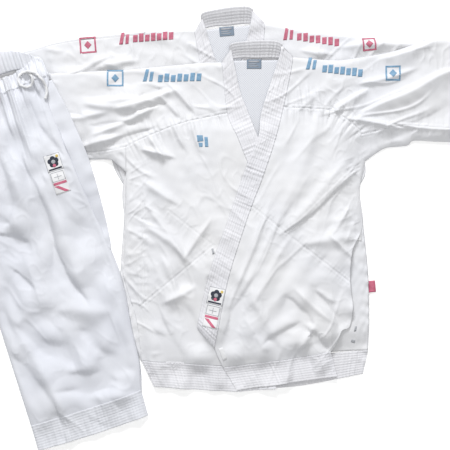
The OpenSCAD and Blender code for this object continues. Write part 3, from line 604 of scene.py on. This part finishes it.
def legHeight(x, y, layer):
    # layers 0 to 3, from the underside of the under leg to the upper side of the top leg
    depth = toNearest(x, y, trousers["sides"])
    depth = np.where(depthInside(x, y, trousers["outline"]) < 0, 0, depth)
    low, rise = trousers["layers"][layer]
    rise = rise * (0.4 + 0.6 * smooth((y + 0.90) / 0.14)) * (0.75 + 0.25 * smooth(-y / 0.1))
    z = trouserDrop(x, y) + mm * (low + rise * rounded(depth, 0.020 if layer == 3 else 0.012))
    # slow waves that the layers share, so that they don't meet
    waves = np.maximum(ripple(x, y, 0.10, 48) + streaks(x, y, 104, 0.25, 0.08, 49), -0.6)
    z = z + (layer > 0) * 1.8 * mm * smooth(depth / 0.03) * waves
    if layer == 3:
        wx, wy = x + 0.004 * ripple(x, y, 0.25, 41), y + 0.004 * ripple(x, y, 0.25, 42)
        # gathers that spread from the waistband
        reach = np.exp(-np.clip(-0.042 - y, 0, 1) / 0.095)
        fan = x + 0.25 * (y + 0.042) * (x + 0.09)
        gathers = wander(fan, 0.030, 8) + 0.5 * wander(fan, 0.014, 9)
        z = z + (3.6 * reach + 3.0 * reach ** 3) * mm * gathers * smooth(depth / 0.01)
        z = z + mm * smooth(depth / 0.03) * (3.2 * ripple(x, y, 0.12, 45) + 1.6 * streaks(x, y, 104, 0.30,
                                                                                          0.085, 46))
        # small puckers beside the sewn-on badge
        badge = np.exp(-(np.hypot(x + 0.062, (y + 0.285) / 1.5) / 0.034) ** 4)
        z = z + 1.1 * mm * ripple(x, y, 0.022, 77) * badge * smooth(np.abs(x + 0.066) / 0.02)
        folds = foldHeight(wx, wy, trousers["folds"]) + fine(wx, wy, trousers["seed"], (100, 100),
                                                             np.ones(x.shape))
        z = z + smooth(depth / 0.018) * folds
        # a valley stays clear of the layer below it, and flattens softly there
        lowest, soft = legHeight(x, y, 2) + 1.4 * mm, 1.6 * mm
        z = lowest + soft * np.logaddexp(0, (z - lowest) / soft)
    return z


# pitch of the stitches along a row, height of the swells between them, and of the ripples across a band, in mm
quilt = {"pitch": 8.0, "relief": 2.0, "ripples": 0.6}


def spaced(count, crowd=0.35):
    # numbers from 0 to 1, closer together at both ends
    t = np.linspace(0, 1, count)
    return (1 - crowd) * t + crowd * (0.5 - 0.5 * np.cos(np.pi * t))


def ruled(first, second, rows, cols, start, end):
    # the flat grid between two lines, in metres, pulled to the start and end lines where they are given
    a, b = curve(np.asarray(first, float), rows), curve(np.asarray(second, float), rows)
    t, u = spaced(cols)[None, :, None], np.linspace(0, 1, rows)[:, None, None]
    grid = a[:, None] * (1 - t) + b[:, None] * t
    for line, share, row in ((start, 1 - u, 0), (end, u, -1)):
        if line is not None:
            run = np.linspace(0, 1, 200)
            edge = curve(np.asarray(line, float), 200)
            edge = np.stack([np.interp(t[0, :, 0], run, edge[:, i]) for i in (0, 1)], -1)
            grid = grid + share * (edge - grid[row])[None]
    return grid


def clothPiece(name, garment, first, second, height, step=3.0, material=None, slot=None, body=None,
               thick=None,
               rests=(), replaces=(), lift=0.0, start=None, end=None):
    # a panel: the ruled patch between two lines, laid at the height that its function gives
    first, second = np.asarray(first, float) * mm, np.asarray(second, float) * mm
    lengths = [runAlong(p)[-1] for p in (first, second)]
    gap = np.linalg.norm(curve(first, 30) - curve(second, 30), axis=1).max()
    rows, cols = int(max(lengths) / step / mm) + 3, int(gap / step / mm) + 4
    start, end = (None if line is None else np.asarray(line, float) * mm for line in (start, end))
    grid = ruled(first, second, rows, cols, start, end)
    z = height(grid[..., 0], grid[..., 1]) + lift * mm
    points = toWorld(np.dstack([grid, z]), garment)
    uv = grid
    mid = points[rows // 2:rows // 2 + 2, cols // 2:cols // 2 + 2]
    if np.cross(mid[1, 0] - mid[0, 0], mid[0, 1] - mid[0, 0])[2] > 0:
        # the upper side has to face up
        points, uv = points[:, ::-1], uv[:, ::-1]
    piece = faceMesh(name, points.reshape(-1, 3), gridQuads(rows, cols), material, uv)
    thicken(piece, thick or thickness["panel"])
    finish(piece, body, replaces)
    return piece


def thicken(piece, thick):
    solid = piece.modifiers.new("thickness", "SOLIDIFY")
    solid.thickness, solid.offset = thick * mm, 0


def finish(piece, body, replaces=()):
    if isinstance(body, str):
        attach(piece, body)
    elif body:
        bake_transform(piece)
    if replaces:
        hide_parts(*replaces)


def bandPiece(name, garment, first, second, height, rows, material=None, slot=None, body=None, replaces=(),
              step=2.6,
              thick=None, lift=0.0, seed=1, rests=(), relief=0.8, gather=0.0, skew=0.0):
    # a stitched band: a closed strip whose top swells between its rows of stitches, with small
    # puckers across it where the thread pulls; its edges are round
    thick = (thick or thickness["band"]) * mm
    first, second = np.asarray(first, float) * mm, np.asarray(second, float) * mm
    lengths = [runAlong(p)[-1] for p in (first, second)]
    count = int(max(lengths) / step / mm) + 3
    wide = np.linalg.norm(curve(first, 20) - curve(second, 20), axis=1).mean()
    # points across it, in mm: close together at its round edges, and five to each row of stitches
    rim, inner = np.array([0, 0.4, 1.1, 2.0]), np.linspace(2.4, wide / mm - 2.4, rows * 5 + 1)
    across = np.unique(np.r_[rim, wide / mm - rim, inner]) / (wide / mm)
    # skew slides the second edge along, so that the puckers cross the band squarely
    a, b, share = curve(first, count), curve(second, 400), np.linspace(0, 1, count)
    share = share + skew * np.sin(np.pi * share) ** 0.6
    b = np.stack([np.interp(share, np.linspace(0, 1, 400), b[:, i]) for i in (0, 1)], -1)
    grid = a[:, None] * (1 - across[None, :, None]) + b[:, None] * across[None, :, None]
    run = np.linspace(0, max(lengths), count)[:, None]
    edge = np.minimum(across, 1 - across)[None, :] * wide
    ends = np.minimum(run, run[-1] - run)
    soft = rounded(edge, thick / 2) * rounded(ends, thick / 2)
    swell = np.abs(np.sin(np.pi * rows * across))[None, :] ** 0.5
    shift = 0.0008 * wander(across * 9.0, 1.0, seed + 2)[None, :] + 0.002 * wander(run, 0.09, seed + 4)
    bead = np.abs(np.sin(np.pi * (run + shift) / (quilt["pitch"] * mm))) ** 0.7
    pull = (0.35 + 0.65 * bead) * (0.85 + 0.15 * wander(run + 2 * shift, 0.02, seed))
    top = thick / 2 * soft + relief * quilt["relief"] * mm * swell * pull * soft - 0.3 * mm
    top = top + (relief > 0) * quilt["ripples"] * mm * wander(run + shift, 0.010, seed + 1) * soft
    base = height(grid[..., 0], grid[..., 1]) + lift * mm + gather * mm * wander(run, 0.012, seed + 3) * soft
    upper = toWorld(np.dstack([grid, base + top]), garment)
    # the underside needs fewer points
    keep = np.unique(np.r_[0:3, 3:len(across) - 3:6, len(across) - 3:len(across)])
    lower = toWorld(np.dstack([grid, base - thick / 2 * soft]), garment)[:, keep][:, ::-1]
    ring = np.concatenate([upper, lower[:, 1:-1]], 1)
    flatUv = np.stack([run + 0 * across, 0 * run + across * wide], -1)
    uv = np.concatenate([flatUv, flatUv[:, keep][:, ::-1][:, 1:-1]], 1)
    mid = count // 2
    deep = np.zeros(ring.shape[:2])
    # painted shade between the rows, uneven along the band
    uneven = 0.85 + 0.2 * wander(run, 0.03, seed + 7)
    deep[:, :len(across)] = (relief > 0) * (1 - swell * (0.25 + 0.75 * bead)) * uneven
    deep = np.clip(deep, 0, 1)
    if np.cross(upper[mid + 1, 2] - upper[mid, 2], upper[mid, 3] - upper[mid, 2])[2] > 0:
        ring, uv, deep = ring[:, ::-1], uv[:, ::-1], deep[:, ::-1]
    n = ring.shape[1]
    piece = faceMesh(name, ring.reshape(-1, 3), gridQuads(count, n, True), material, uv, deep)
    closeEnds(piece, n, count)
    finish(piece, body, replaces)
    return piece


def closeEnds(piece, n, count):
    # both ends of a tube get one face each
    made = bmesh.new()
    made.from_mesh(piece.data)
    made.verts.ensure_lookup_table()
    for ring in (range(n), range((count - 1) * n, count * n)):
        made.faces.new([made.verts[i] for i in ring])
    bmesh.ops.recalc_face_normals(made, faces=made.faces)
    made.to_mesh(piece.data)
    made.free()


def tiles(name, garment, shapes, height, lift, material, body, replaces=(), thick=0.7, grain=6):
    # several small four-cornered shapes as one mesh: each is a little grid laid on the cloth
    t = np.linspace(0, 1, grain)
    points, uvs, quads = [], [], []
    for corners in shapes:
        c = np.array(corners, float) * mm
        s, r = t[:, None, None], t[None, :, None]
        grid = (c[0] * (1 - s) + c[3] * s) * (1 - r) + (c[1] * (1 - s) + c[2] * s) * r
        if np.cross(grid[1, 0] - grid[0, 0], grid[0, 1] - grid[0, 0]) > 0:
            grid = grid[:, ::-1]
        z = height(grid[..., 0], grid[..., 1]) + lift * mm
        points.append(toWorld(np.dstack([grid, z]), garment).reshape(-1, 3))
        uvs.append(grid.reshape(-1, 2))
        quads.append(gridQuads(grain, grain) + len(quads) * grain**2)
    piece = faceMesh(name, np.vstack(points), np.vstack(quads), material, np.vstack(uvs))
    thicken(piece, thick)
    finish(piece, body, replaces)
    return piece


print("height fields ready")
# where the left front and the left sleeve bend, in metres: between two bodies, at two places; a piece given one
# of these is only baked in place, and no bend is set up here
foldAt, foldOut = np.array([0.109, 0.285, 0.0257]), np.array([0.898, 0.440, 0])
flapBend = ("blue_jacket", "blue_left_front", tuple(foldAt + 0.025 * foldOut),
            tuple(foldAt - 0.025 * foldOut))
sleeveBend = ("blue_jacket", "blue_left_sleeve", (0.295, 0.3, 0.0222), (0.335, 0.3, 0.0222))


def makeJacket(j):
    name, isBlue = j["name"] + "_", j is blue
    main = name + "jacket"
    flap, arm = (flapBend, sleeveBend) if isBlue else (main, main)
    get = {key: line / mm for key, line in j["line"].items()}
    top = lambda x, y: bodyHeight(x, y, j, 0)
    over = lambda x, y: bodyHeight(x, y, j, 1)
    back = lambda x, y: backHeight(x, y, j)
    # the back of the collar stands up
    standing = lambda x, y: backHeight(x, y, j) + mm * (1.8 + 19 * smooth((y + 0.006) / 0.05))
    # the CAD nodes of a piece: the blue jacket has its own for each, the red one has some for several
    nodes = lambda ofBlue, ofRed: [name + node for node in (ofBlue if isBlue else ofRed).split()]
    base = ["red_back_panel", "red_left_front"] if isBlue else ["floor"]
    cloth = dict(material=jacketCloth, slot="jacket_cloth", rests=base)
    band = dict(material=bandCloth, slot="quilted_band", rests=base)
    leftTop, rightTop, outer, inner = get["leftTop"], get["rightTop"], get["leftOuter"], get["leftInner"]
    backLeft = np.vstack([leftTop[1], get["leftSide"]])
    onShoulder = [-200, np.interp(200, -rightTop[:, 0], rightTop[:, 1])]
    backRight = np.vstack([onShoulder, get["rightBack" if isBlue else "rightSide"]])
    rightBackTop = np.vstack([backRight[0], rightTop[2:]])
    # the back and the sleeves' lower layers
    clothPiece(name + "back", j, backLeft, backRight, back, 5, body=main, replaces=[name + "back_panel"],
               **cloth)
    clothPiece(name + "left_sleeve_lower", j, leftTop[1:], get["leftUnder"], back, 5, body=arm, lift=0.05,
               replaces=nodes("left_sleeve_under", "sleeves_under"), **cloth)
    clothPiece(name + "right_sleeve_lower", j, rightBackTop, get["rightUnder"], back, 5, body=main, lift=0.05,
               replaces=nodes("right_sleeve_under", "sleeves_under"), **cloth)
    # the shoulders with the sleeves' upper layers, and the strips along the underarm seams
    step = 2.6 if isBlue else 3.2
    for side, height, body, edge in (("left", over, arm, outer[:3]),
                                     ("right", top, main, get["rightOuter"][:2])):
        below = np.vstack([get[side + "Yoke"], get[side + "Arm"][1:]])
        clothPiece(name + side + "_shoulder_and_sleeve", j, get[side + "Top"], below, height, step,
                   start=edge, body=body,
                   replaces=nodes("%s_yoke %s_sleeve_upper" % (side, side), "yokes sleeves_upper"), **cloth)
        clothPiece(name + side + "_gusset_cloth", j, get[side + "Arm"], get[side + "Under"], height, step,
                   body=body, replaces=nodes(side + "_gusset", "gussets"), **cloth)
    # the fronts
    clothPiece(name + "left_front_cloth", j, np.vstack([outer[2:], [(-79, -744)]]),
               np.vstack([get["leftYoke"][-1:], get["leftVent"]]), over, step, start=get["leftYoke"],
               end=[(-79, -744), (106, -720), (180, -705)], body=flap,
               replaces=nodes("left_side_panel left_chest_panel left_skirt_panel", "left_front"), **cloth)
    clothPiece(name + "right_front_cloth", j, get["rightOuter"][1:],
               np.vstack([get["rightYoke"][-1:], get["rightSide"]]), top, step, start=get["rightYoke"],
               end=[(104, -690), (60, -728), (-40, -741), (-276, -728)], body=main,
               replaces=nodes("right_chest_panel right_skirt_panel", "right_front"), **cloth)
    # the stitched bands
    bandPiece(name + "collar_band", j, [(-65, 26), (-57, 34), (-29, 38), (12, 41), (50, 39), (64, 30)],
              [(-60, -2), (-30, 1), (0, 0), (30, 1), (58, 0)], standing, 6, body=main,
              replaces=[name + "collar"],
              step=2.2, seed=5, **band)
    bandPiece(name + "right_lapel_band", j, get["rightOuter"], get["rightInner"], top, 8, lift=0.9,
              skew=0.032,
              body=main, replaces=nodes("right_lapel", "lapels"), seed=6, **band)
    bandPiece(name + "left_lapel_band", j, outer, inner, over, 8, lift=0.9, skew=0.032, body=flap,
              replaces=nodes("left_lapel", "lapels"), seed=7, relief=0.65, **band)
    bandPiece(name + "left_hem", j, [(-79, -744), (106, -720), (180, -704)],
              [(-46, -799), (106, -778), (196, -766)],
              over, 10, lift=0.3, body="blue_left_front" if isBlue else main,
              replaces=nodes("left_hem_band", "hem_bands"), seed=8, relief=0.65, **band)
    bandPiece(name + "right_hem", j, [(-276, -728), (-160, -735), (-40, -741), (60, -728)],
              [(-245, -790), (-150, -797), (-50, -802), (48, -795)], top, 10, lift=0.3, body=main,
              replaces=nodes("right_hem_band", "hem_bands"), seed=9, relief=0.65, **band)
    bandPiece(name + "back_hem", j, [(271, -703), (100, -716), (-100, -730), (-276, -728)],
              [(259, -760), (100, -790), (-46, -797), (-245, -790)], back, 10, lift=0.6, body=main,
              replaces=nodes("back_hem_band", "hem_bands"), seed=10, **band)
    for side, out, body, height in (("left", 28, "blue_left_sleeve" if isBlue else main, over),
                                    ("right", -28, main, top)):
        corners = [get[side + "Top"][-1], get[side + "Under"][-1]]
        edge = np.array([corners[0], (corners[0] + corners[1]) / 2, corners[1]])
        for level, function in (("upper", height), ("lower", back)):
            bandPiece(name + side + "_cuff_" + level, j, edge, edge + (out, 0), function, 6, lift=0.2,
                      body=body,
                      replaces=nodes(side + "_cuff", "cuffs"), seed=12, **band)
    # inside the neck: mesh lining, size label and ties
    clothPiece(name + "lining", j, [(-80, -6), (-90, -120), (-80, -220), (-30, -300)],
               [(80, -4), (90, -110), (80, -220), (30, -300)], back, 5, material=lining, slot="mesh_lining",
               body=main,
               lift=2.8, thick=0.5, rests=[name + "back"], replaces=[name + "back_lining"])
    tiles(name + "neck_label", j, [box(-22, -25, 13, -3)], back, 3.8, labelCloth, main,
          [name + "size_label"], 0.5, 12)
    tiles(name + "neck_label_print", j, [box(-18, -10, 8, -6), box(-18, -15, 2, -13), box(-18, -20, 6, -18)],
          back, 4.3,
          greyPatch, main, (), 0.3, 4)
    tiles(name + "ties", j, [[(74, -452), (205, -462), (206, -480), (74, -470)],
                             [(254, -420), (110, -412), (109, -430), (254, -438)]],
          back, 2.2, tapeCloth, main, [name + "inner_ties"], 0.8, 24)
    print(j["name"], "jacket made")


def drawMarks(j, thread):
    # plain slanted bars on the shoulders and a framed square on each sleeve, in satin stitch
    top = lambda x, y: bodyHeight(x, y, j, 0)
    over = lambda x, y: bodyHeight(x, y, j, 1)
    name, main = j["name"], j["name"] + "_jacket"
    tall = (8, 11, 7, 10, 8, 11, 9)
    for side, height in (("left", over), ("right", top)):
        (x0, y0), (x1, y1) = j[side + "Bar"]
        shapes = []
        for i, h in enumerate(tall):
            x, y = x0 + (x1 - x0) * i / len(tall), y0 + (y1 - y0) * (i + 0.5) / len(tall)
            shapes.append([(x + 2, y + h), (x + 13, y + h), (x + 11, y - 9), (x, y - 9)])
        x, y = j[side + "Mark"]
        shapes += [[(x - 6, y + 15), (x + 2, y + 15), (x - 5, y - 14), (x - 14, y - 14)],
                   [(x + 5, y + 9), (x + 13, y + 9), (x + 9, y - 14), (x + 1, y - 14)]]
        tiles("%s_%s_shoulder_bars" % (name, side), j, shapes, height, 0.75, thread, main,
              [name + "_shoulder_marks"] if j is blue else ["red_marks"], 0.5, 8)
        x, y, a = j[side + "Box"]
        b = a - 4
        border = [[(x - a, y + a), (x + a, y + a), (x + b, y + b), (x - b, y + b)],
                  [(x + a, y + a), (x + a, y - a), (x + b, y - b), (x + b, y + b)],
                  [(x + a, y - a), (x - a, y - a), (x - b, y - b), (x + b, y - b)],
                  [(x - a, y - a), (x - a, y + a), (x - b, y + b), (x - b, y - b)]]
        diamond = [(x, y + 10), (x + 9, y), (x, y - 10), (x - 9, y)]
        tiles("%s_%s_square" % (name, side), j, border + [diamond], height, 0.75, thread,
              "blue_left_sleeve" if j is blue and side == "left" else main,
              ["blue_%s_sleeve_mark" % side] if j is blue else ["red_marks"], 0.5, 8)


def drawBlueMarks():
    # three blocks on the chest, the slit for the inner tie, and a small print beside the left vent
    top = lambda x, y: bodyHeight(x, y, blue, 0)
    back = lambda x, y: backHeight(x, y, blue)
    slit = [[(-107, -458), (-103, -456), (-99, -469), (-104, -472)]]
    dots = [[(238, -645), (243, -644), (241, -656), (236, -657)],
            [(231, -676), (240, -679), (238, -686), (229, -683)]]
    blocks = [[(-142, -186), (-128, -186), (-126, -200), (-140, -202)],
              [(-124, -190), (-116, -190), (-114, -214), (-122, -214)],
              [(-138, -204), (-128, -204), (-128, -214), (-136, -214)]]
    # the tie slit is a grey patch: painted shade in its opening
    tiles("blue_tie_slit", blue, slit, top, 0.75, greyPatch, "blue_jacket", (), 0.4, 4)
    tiles("blue_back_print", blue, dots, back, 0.75, greyPatch, "blue_jacket", (), 0.4, 4)
    tiles("blue_chest_motif", blue, blocks, top, 0.75, blueThread, "blue_jacket",
          ["blue_chest_mark"], 0.5, 8)


def onLapel(shapes):
    # shapes drawn upright about (0, 0), turned to lie along the lower end of the left lapel
    a = np.radians(-12)
    return [[(x * np.cos(a) - y * np.sin(a), x * np.sin(a) + y * np.cos(a)) for x,
             y in shape] for shape in shapes]


def box(x0, y0, x1, y1):
    return [(x0, y1), (x1, y1), (x1, y0), (x0, y0)]


def disc(x, y, r, n=12):
    # a round shape as a fan of slices
    a = np.linspace(0, 2 * np.pi, n + 1)
    return [[(x, y), (x + r * np.cos(p), y + r * np.sin(p)), (x + r * np.cos(q), y + r * np.sin(q)), (x, y)]
            for p, q in zip(a[:-1], a[1:])]


def moved(shapes, x, y):
    return [[(p[0] + x, p[1] + y) for p in shape] for shape in shapes]


def drawPatch(prefix, garment, height, lift, place, turn, body, patchNode, labelNode):
    # a white woven badge with a dark round of five petals, above a white label with a frame and red stripes
    put = lambda shapes: moved(turn(shapes), *place)
    piece = lambda name, shapes, up, material, slot, nodes=(), grain=6, thick=0.5: tiles(
        prefix + name, garment, put(shapes), height, lift + up, material, body, nodes, thick, grain)
    piece("_badge", [box(-19, -16, 19, 24)], 0.0, tapeCloth, "woven_patch", [patchNode], 14, 0.8)
    rim = [box(-19.5, -16.5, 19.5, -15.3), box(-19.5, 23.3, 19.5, 24.5), box(-19.5, -16, -18.3, 24),
           box(18.3, -16, 19.5, 24)]
    piece("_badge_edge", rim, 0.25, greyPatch, "woven_patch", (), 6)
    petals = [shape for a in np.arange(5) * 2 * np.pi / 5
              for shape in disc(7.5 * np.sin(a), 6 + 7.5 * np.cos(a), 6.5)]
    piece("_badge_petals", petals, 0.45, darkPatch, "woven_patch", (), 3)
    piece("_badge_middle", disc(0, 6, 5), 0.85, greyPatch, "woven_patch", (), 3)
    piece("_badge_gold", disc(12, 17, 3.6), 0.6, goldThread, "woven_patch", (), 3)
    piece("_badge_pink", disc(0, -3.5, 4.2), 0.9, pinkThread, "woven_patch", (), 3)
    piece("_badge_bar", [box(-16, -13.5, 16, -9.5)], 0.45, darkPatch, "woven_patch", (), 10)
    piece("_label", [box(-18, -72, 18, -17)], -0.1, tapeCloth, "striped_label", [labelNode], 14)
    border = [box(-16, -20.5, 16, -19), box(-16, -42, 16, -40.5), box(-16, -42, -14.5, -19),
              box(14.5, -42, 16, -19),
              box(-9, -32, 9, -30.5), box(-1, -38, 0.5, -24)]
    piece("_label_frame", border, 0.3, greyPatch, "striped_label", (), 6)
    piece("_label_stripes", [box(-16, -50, 16, -44), [(-16, -52), (-6, -52), (16, -70), (6, -70)]], 0.3,
          pinkThread,
          "striped_label", (), 10)


makeJacket(red)
makeJacket(blue)
drawMarks(red, redThread)
drawMarks(blue, blueThread)
drawBlueMarks()
overBlue = lambda x, y: bodyHeight(x, y, blue, 1)
drawPatch("lapel", blue, overBlue, 3.0, (-97, -575), onLapel, "blue_left_front", "blue_lapel_patch",
          "blue_lapel_label")
tiles("blue_front_tab", blue, [[(-90, -697), (-80, -694), (-70, -722), (-79, -727)]], overBlue, 0.9,
      tapeCloth,
      "blue_left_front", ["blue_flap_tie"], 0.8, 8)
tiles("red_tag", red, [box(262, -672, 300, -644)], lambda x, y: backHeight(x, y, red), 1.2, pinkThread,
      "red_jacket", ["red_side_tag"], 0.6, 8)
print("marks and labels made")


def makeTrousers():
    cloth = dict(material=trouserCloth, slot="trouser_cloth")
    band = dict(material=trouserBand, slot="quilted_band")
    left, right = trousers["left"] / mm, trousers["right"] / mm
    hemEdges = [(-309, -829), (-170, -832), (-31, -829)], [(-312, -893), (-170, -896), (-34, -893)]
    waistEdges = {"under": ([(-222, 30), (-150, 42), (-101, 44), (-66, 36), (-34, 18), (-8, -6)],
                            [(-222, -14), (-110, -6), (-60, -12), (-4, -42)]),
                  "top": ([(-222, -16), (-150, -22), (-123, -21), (-83, -15), (-49, -6), (-20, 8), (-8, -2)],
                          [(-222, -52), (-123, -53), (-83, -50), (-49, -47), (-4, -44)])}
    # the two legs, each of two layers; at the waist the upper layer of each is thick and gathered
    for layer in range(4):
        leg, side = ("under", "under", "top", "top")[layer], ("bottom", "top")[layer % 2]
        cad = "trousers_%s_" % leg
        body = "trousers" if leg == "under" else "trousers_top_leg"
        height = lambda x, y, layer=layer: legHeight(x, y, layer)
        # the edge at the back stands a little higher, so that the opening shows
        stand = 14 * mm if leg == "under" else 0
        behind = lambda x, y, height=height, stand=stand: height(x, y) + stand * smooth((y + 0.025) / 0.06)
        clothPiece("trousers_%s_leg_%s" % (leg, side), trousers, left, right, height,
                   2.4 if layer == 3 else 5, body=body, rests=["floor", "blue_right_sleeve_lower"],
                   replaces=[cad + ("leg_lower" if side == "bottom" else "leg_upper")], **cloth)
        bandPiece("trousers_%s_hem_%s" % (leg, side), trousers, *hemEdges, height, 10, lift=0.4, body=body,
                  replaces=[cad + "hem_band"], rests=["floor"], seed=20 + layer, relief=0.65, **band)
        thick, gather = (5, 2.4) if side == "top" else (2, 0.0)
        bandPiece("trousers_%s_waistband_%s" % (leg, side), trousers, *waistEdges[leg], behind, 2, lift=0.5,
                  thick=thick, body=body, replaces=[cad + "waistband"], rests=["floor"],
                  seed=30 + layer, relief=0.0, gather=gather, **band)
    # the gusset lies level across, at the height of the lower leg's middle
    level = lambda x, y: legHeight(x * 0 - 0.15, y, 1) + 1.6 * mm * ripple(x, y, 0.05, 52)
    bandPiece("trousers_gusset", trousers,
              [(-34, -56), (-32, -120), (-24, -175), (-12, -331), (-2, -449), (0, -480)],
              [(-2, -55), (10, -120), (17, -175), (24, -264), (20, -360), (12, -449), (6, -484)],
              level, 1, lift=1.6, thick=5, relief=0.0, body="trousers",
              replaces=["trousers_crotch_gusset"], rests=["blue_right_front"], **cloth)
    bandPiece("trousers_elastic", trousers, [(-216, -8), (-110, -4), (-14, -8)],
              [(-216, -34), (-110, -32), (-14, -34)], lambda x, y: legHeight(x, y, 0), 4,
              thick=1.2, lift=1.8, material=tapeCloth, slot="tape", body="trousers",
              replaces=["trousers_waist_elastic"], rests=["trousers_under_leg_bottom"])
    drawPatch("thigh", trousers, lambda x, y: legHeight(x, y, 3), 0.9, (-58, -250), lambda shapes: shapes,
              "trousers_top_leg", "trousers_thigh_patch", "trousers_thigh_patch")
    print("trousers made")


# in mm: the cord's radius, how far its braid stands out, the length of a turn of it over two pi, and how high
# its middle lies above the cloth; sides is the number of its faces round
drawcord = {"radius": 3.3, "braid": 0.22, "turn": 2.2, "above": 4.6, "sides": 18, "diameter": 7}


def makeCord():
    # a limp braided cord: a loop that crosses over itself on the waistband, then a tail down the leg;
    # three strands wind round it each way
    route = np.array([(-64, -17, 0), (-57, -20, 1), (-49, -25, 2), (-43, -34, 3), (-43, -45, 2),
                      (-49, -54, 1), (-59, -57, 0), (-69, -53, 0), (-75, -44, 0), (-75, -33, 0),
                      (-69, -25, 2), (-60, -22, 7), (-51, -22, 8.5), (-41, -26, 7),
                      (-31, -34, 2), (-24, -45, 0), (-20, -58, 0), (-19, -72, 0), (-23, -85, 0),
                      (-30, -96, 0)], float) * mm
    line = curve(route, 260)
    ground = legHeight(line[:, 0], line[:, 1], 3)
    ground = np.convolve(np.pad(ground, 12, mode="edge"), np.ones(25) / 25, "valid")
    line[:, 2] += ground + drawcord["above"] * mm
    line = toWorld(line, trousers)
    way = np.gradient(line, axis=0)
    run = runAlong(line)[:, None]
    way /= np.linalg.norm(way, axis=1)[:, None]
    side = np.cross(way, (0, 0, 1.0))
    side /= np.linalg.norm(side, axis=1)[:, None]
    up = np.cross(side, way)
    sides, wind = drawcord["sides"], run / (drawcord["turn"] * mm)
    angle = np.linspace(0, 2 * np.pi, sides, endpoint=False)[None]
    braid = np.sin(3 * angle + wind) + np.sin(3 * angle - wind)
    radius = mm * (drawcord["radius"] + drawcord["braid"] * braid)
    radius = radius * np.clip(rounded(np.minimum(run, run[-1] - run) + 0.0004, 0.003), 0.15, 1)
    ring = line[:, None] + (np.cos(angle) * radius)[..., None] * side[:, None]
    ring = ring + (np.sin(angle) * radius)[..., None] * up[:, None]
    uv = np.dstack([np.broadcast_to(run, ring.shape[:2]), np.broadcast_to(angle * 0.0035, ring.shape[:2])])
    piece = faceMesh("drawcord", ring.reshape(-1, 3), gridQuads(len(ring), sides, True), tapeCloth, uv)
    closeEnds(piece, sides, len(ring))
    finish(piece, "trousers_top_leg", ["trousers_drawcord"])


makeCord()
makeTrousers()

# how pale the table is, how much it glows, and the strength of the two lights and of the world
studio = {"floor": 0.97, "glow": 0.16, "overhead": 41.0, "fromTop": 278.0, "world": 0.40}
floorMesh = bpy.data.meshes.new("floor")
floorMesh.from_pydata([(-6, -6, 0), (6, -6, 0), (6, 6, 0), (-6, 6, 0)], [], [(0, 1, 2, 3)])
floor = bpy.data.objects.new("floor", floorMesh)
bpy.context.collection.objects.link(floor)
paper, tree, shader = newMaterial("paper", 0.95, 0)
shader.inputs["Base Color"].default_value = (studio["floor"],) * 3 + (1,)
shader.inputs["Emission Color"].default_value = (1, 1, 1, 1)
shader.inputs["Emission Strength"].default_value = studio["glow"]  # a lit table, so shadows stay faint
floorMesh.materials.append(paper)


def areaLight(name, place, size, power, colour):
    light = bpy.data.objects.new(name, bpy.data.lights.new(name, "AREA"))
    light.data.shape = "DISK"
    light.data.size, light.data.energy, light.data.color = size, power, colour
    light.location = place
    bpy.context.collection.objects.link(light)
    light.rotation_euler = (Vector((0, 0, 0)) - light.location).to_track_quat("-Z", "Y").to_euler()


areaLight("overhead", (0.1, 0.0, 3.0), 1.7, studio["overhead"], (1, 0.985, 0.965))
areaLight("fromTop", (-0.9, 4.5, 3.1), 1.5, studio["fromTop"], (0.985, 0.99, 1))
world = bpy.data.worlds.new("studio")
world.use_nodes = True
world.node_tree.nodes["Background"].inputs["Color"].default_value = (0.96, 0.98, 1, 1)
world.node_tree.nodes["Background"].inputs["Strength"].default_value = studio["world"]
bpy.context.scene.world = world
bpy.context.scene.view_settings.view_transform = "Standard"
print("studio ready")
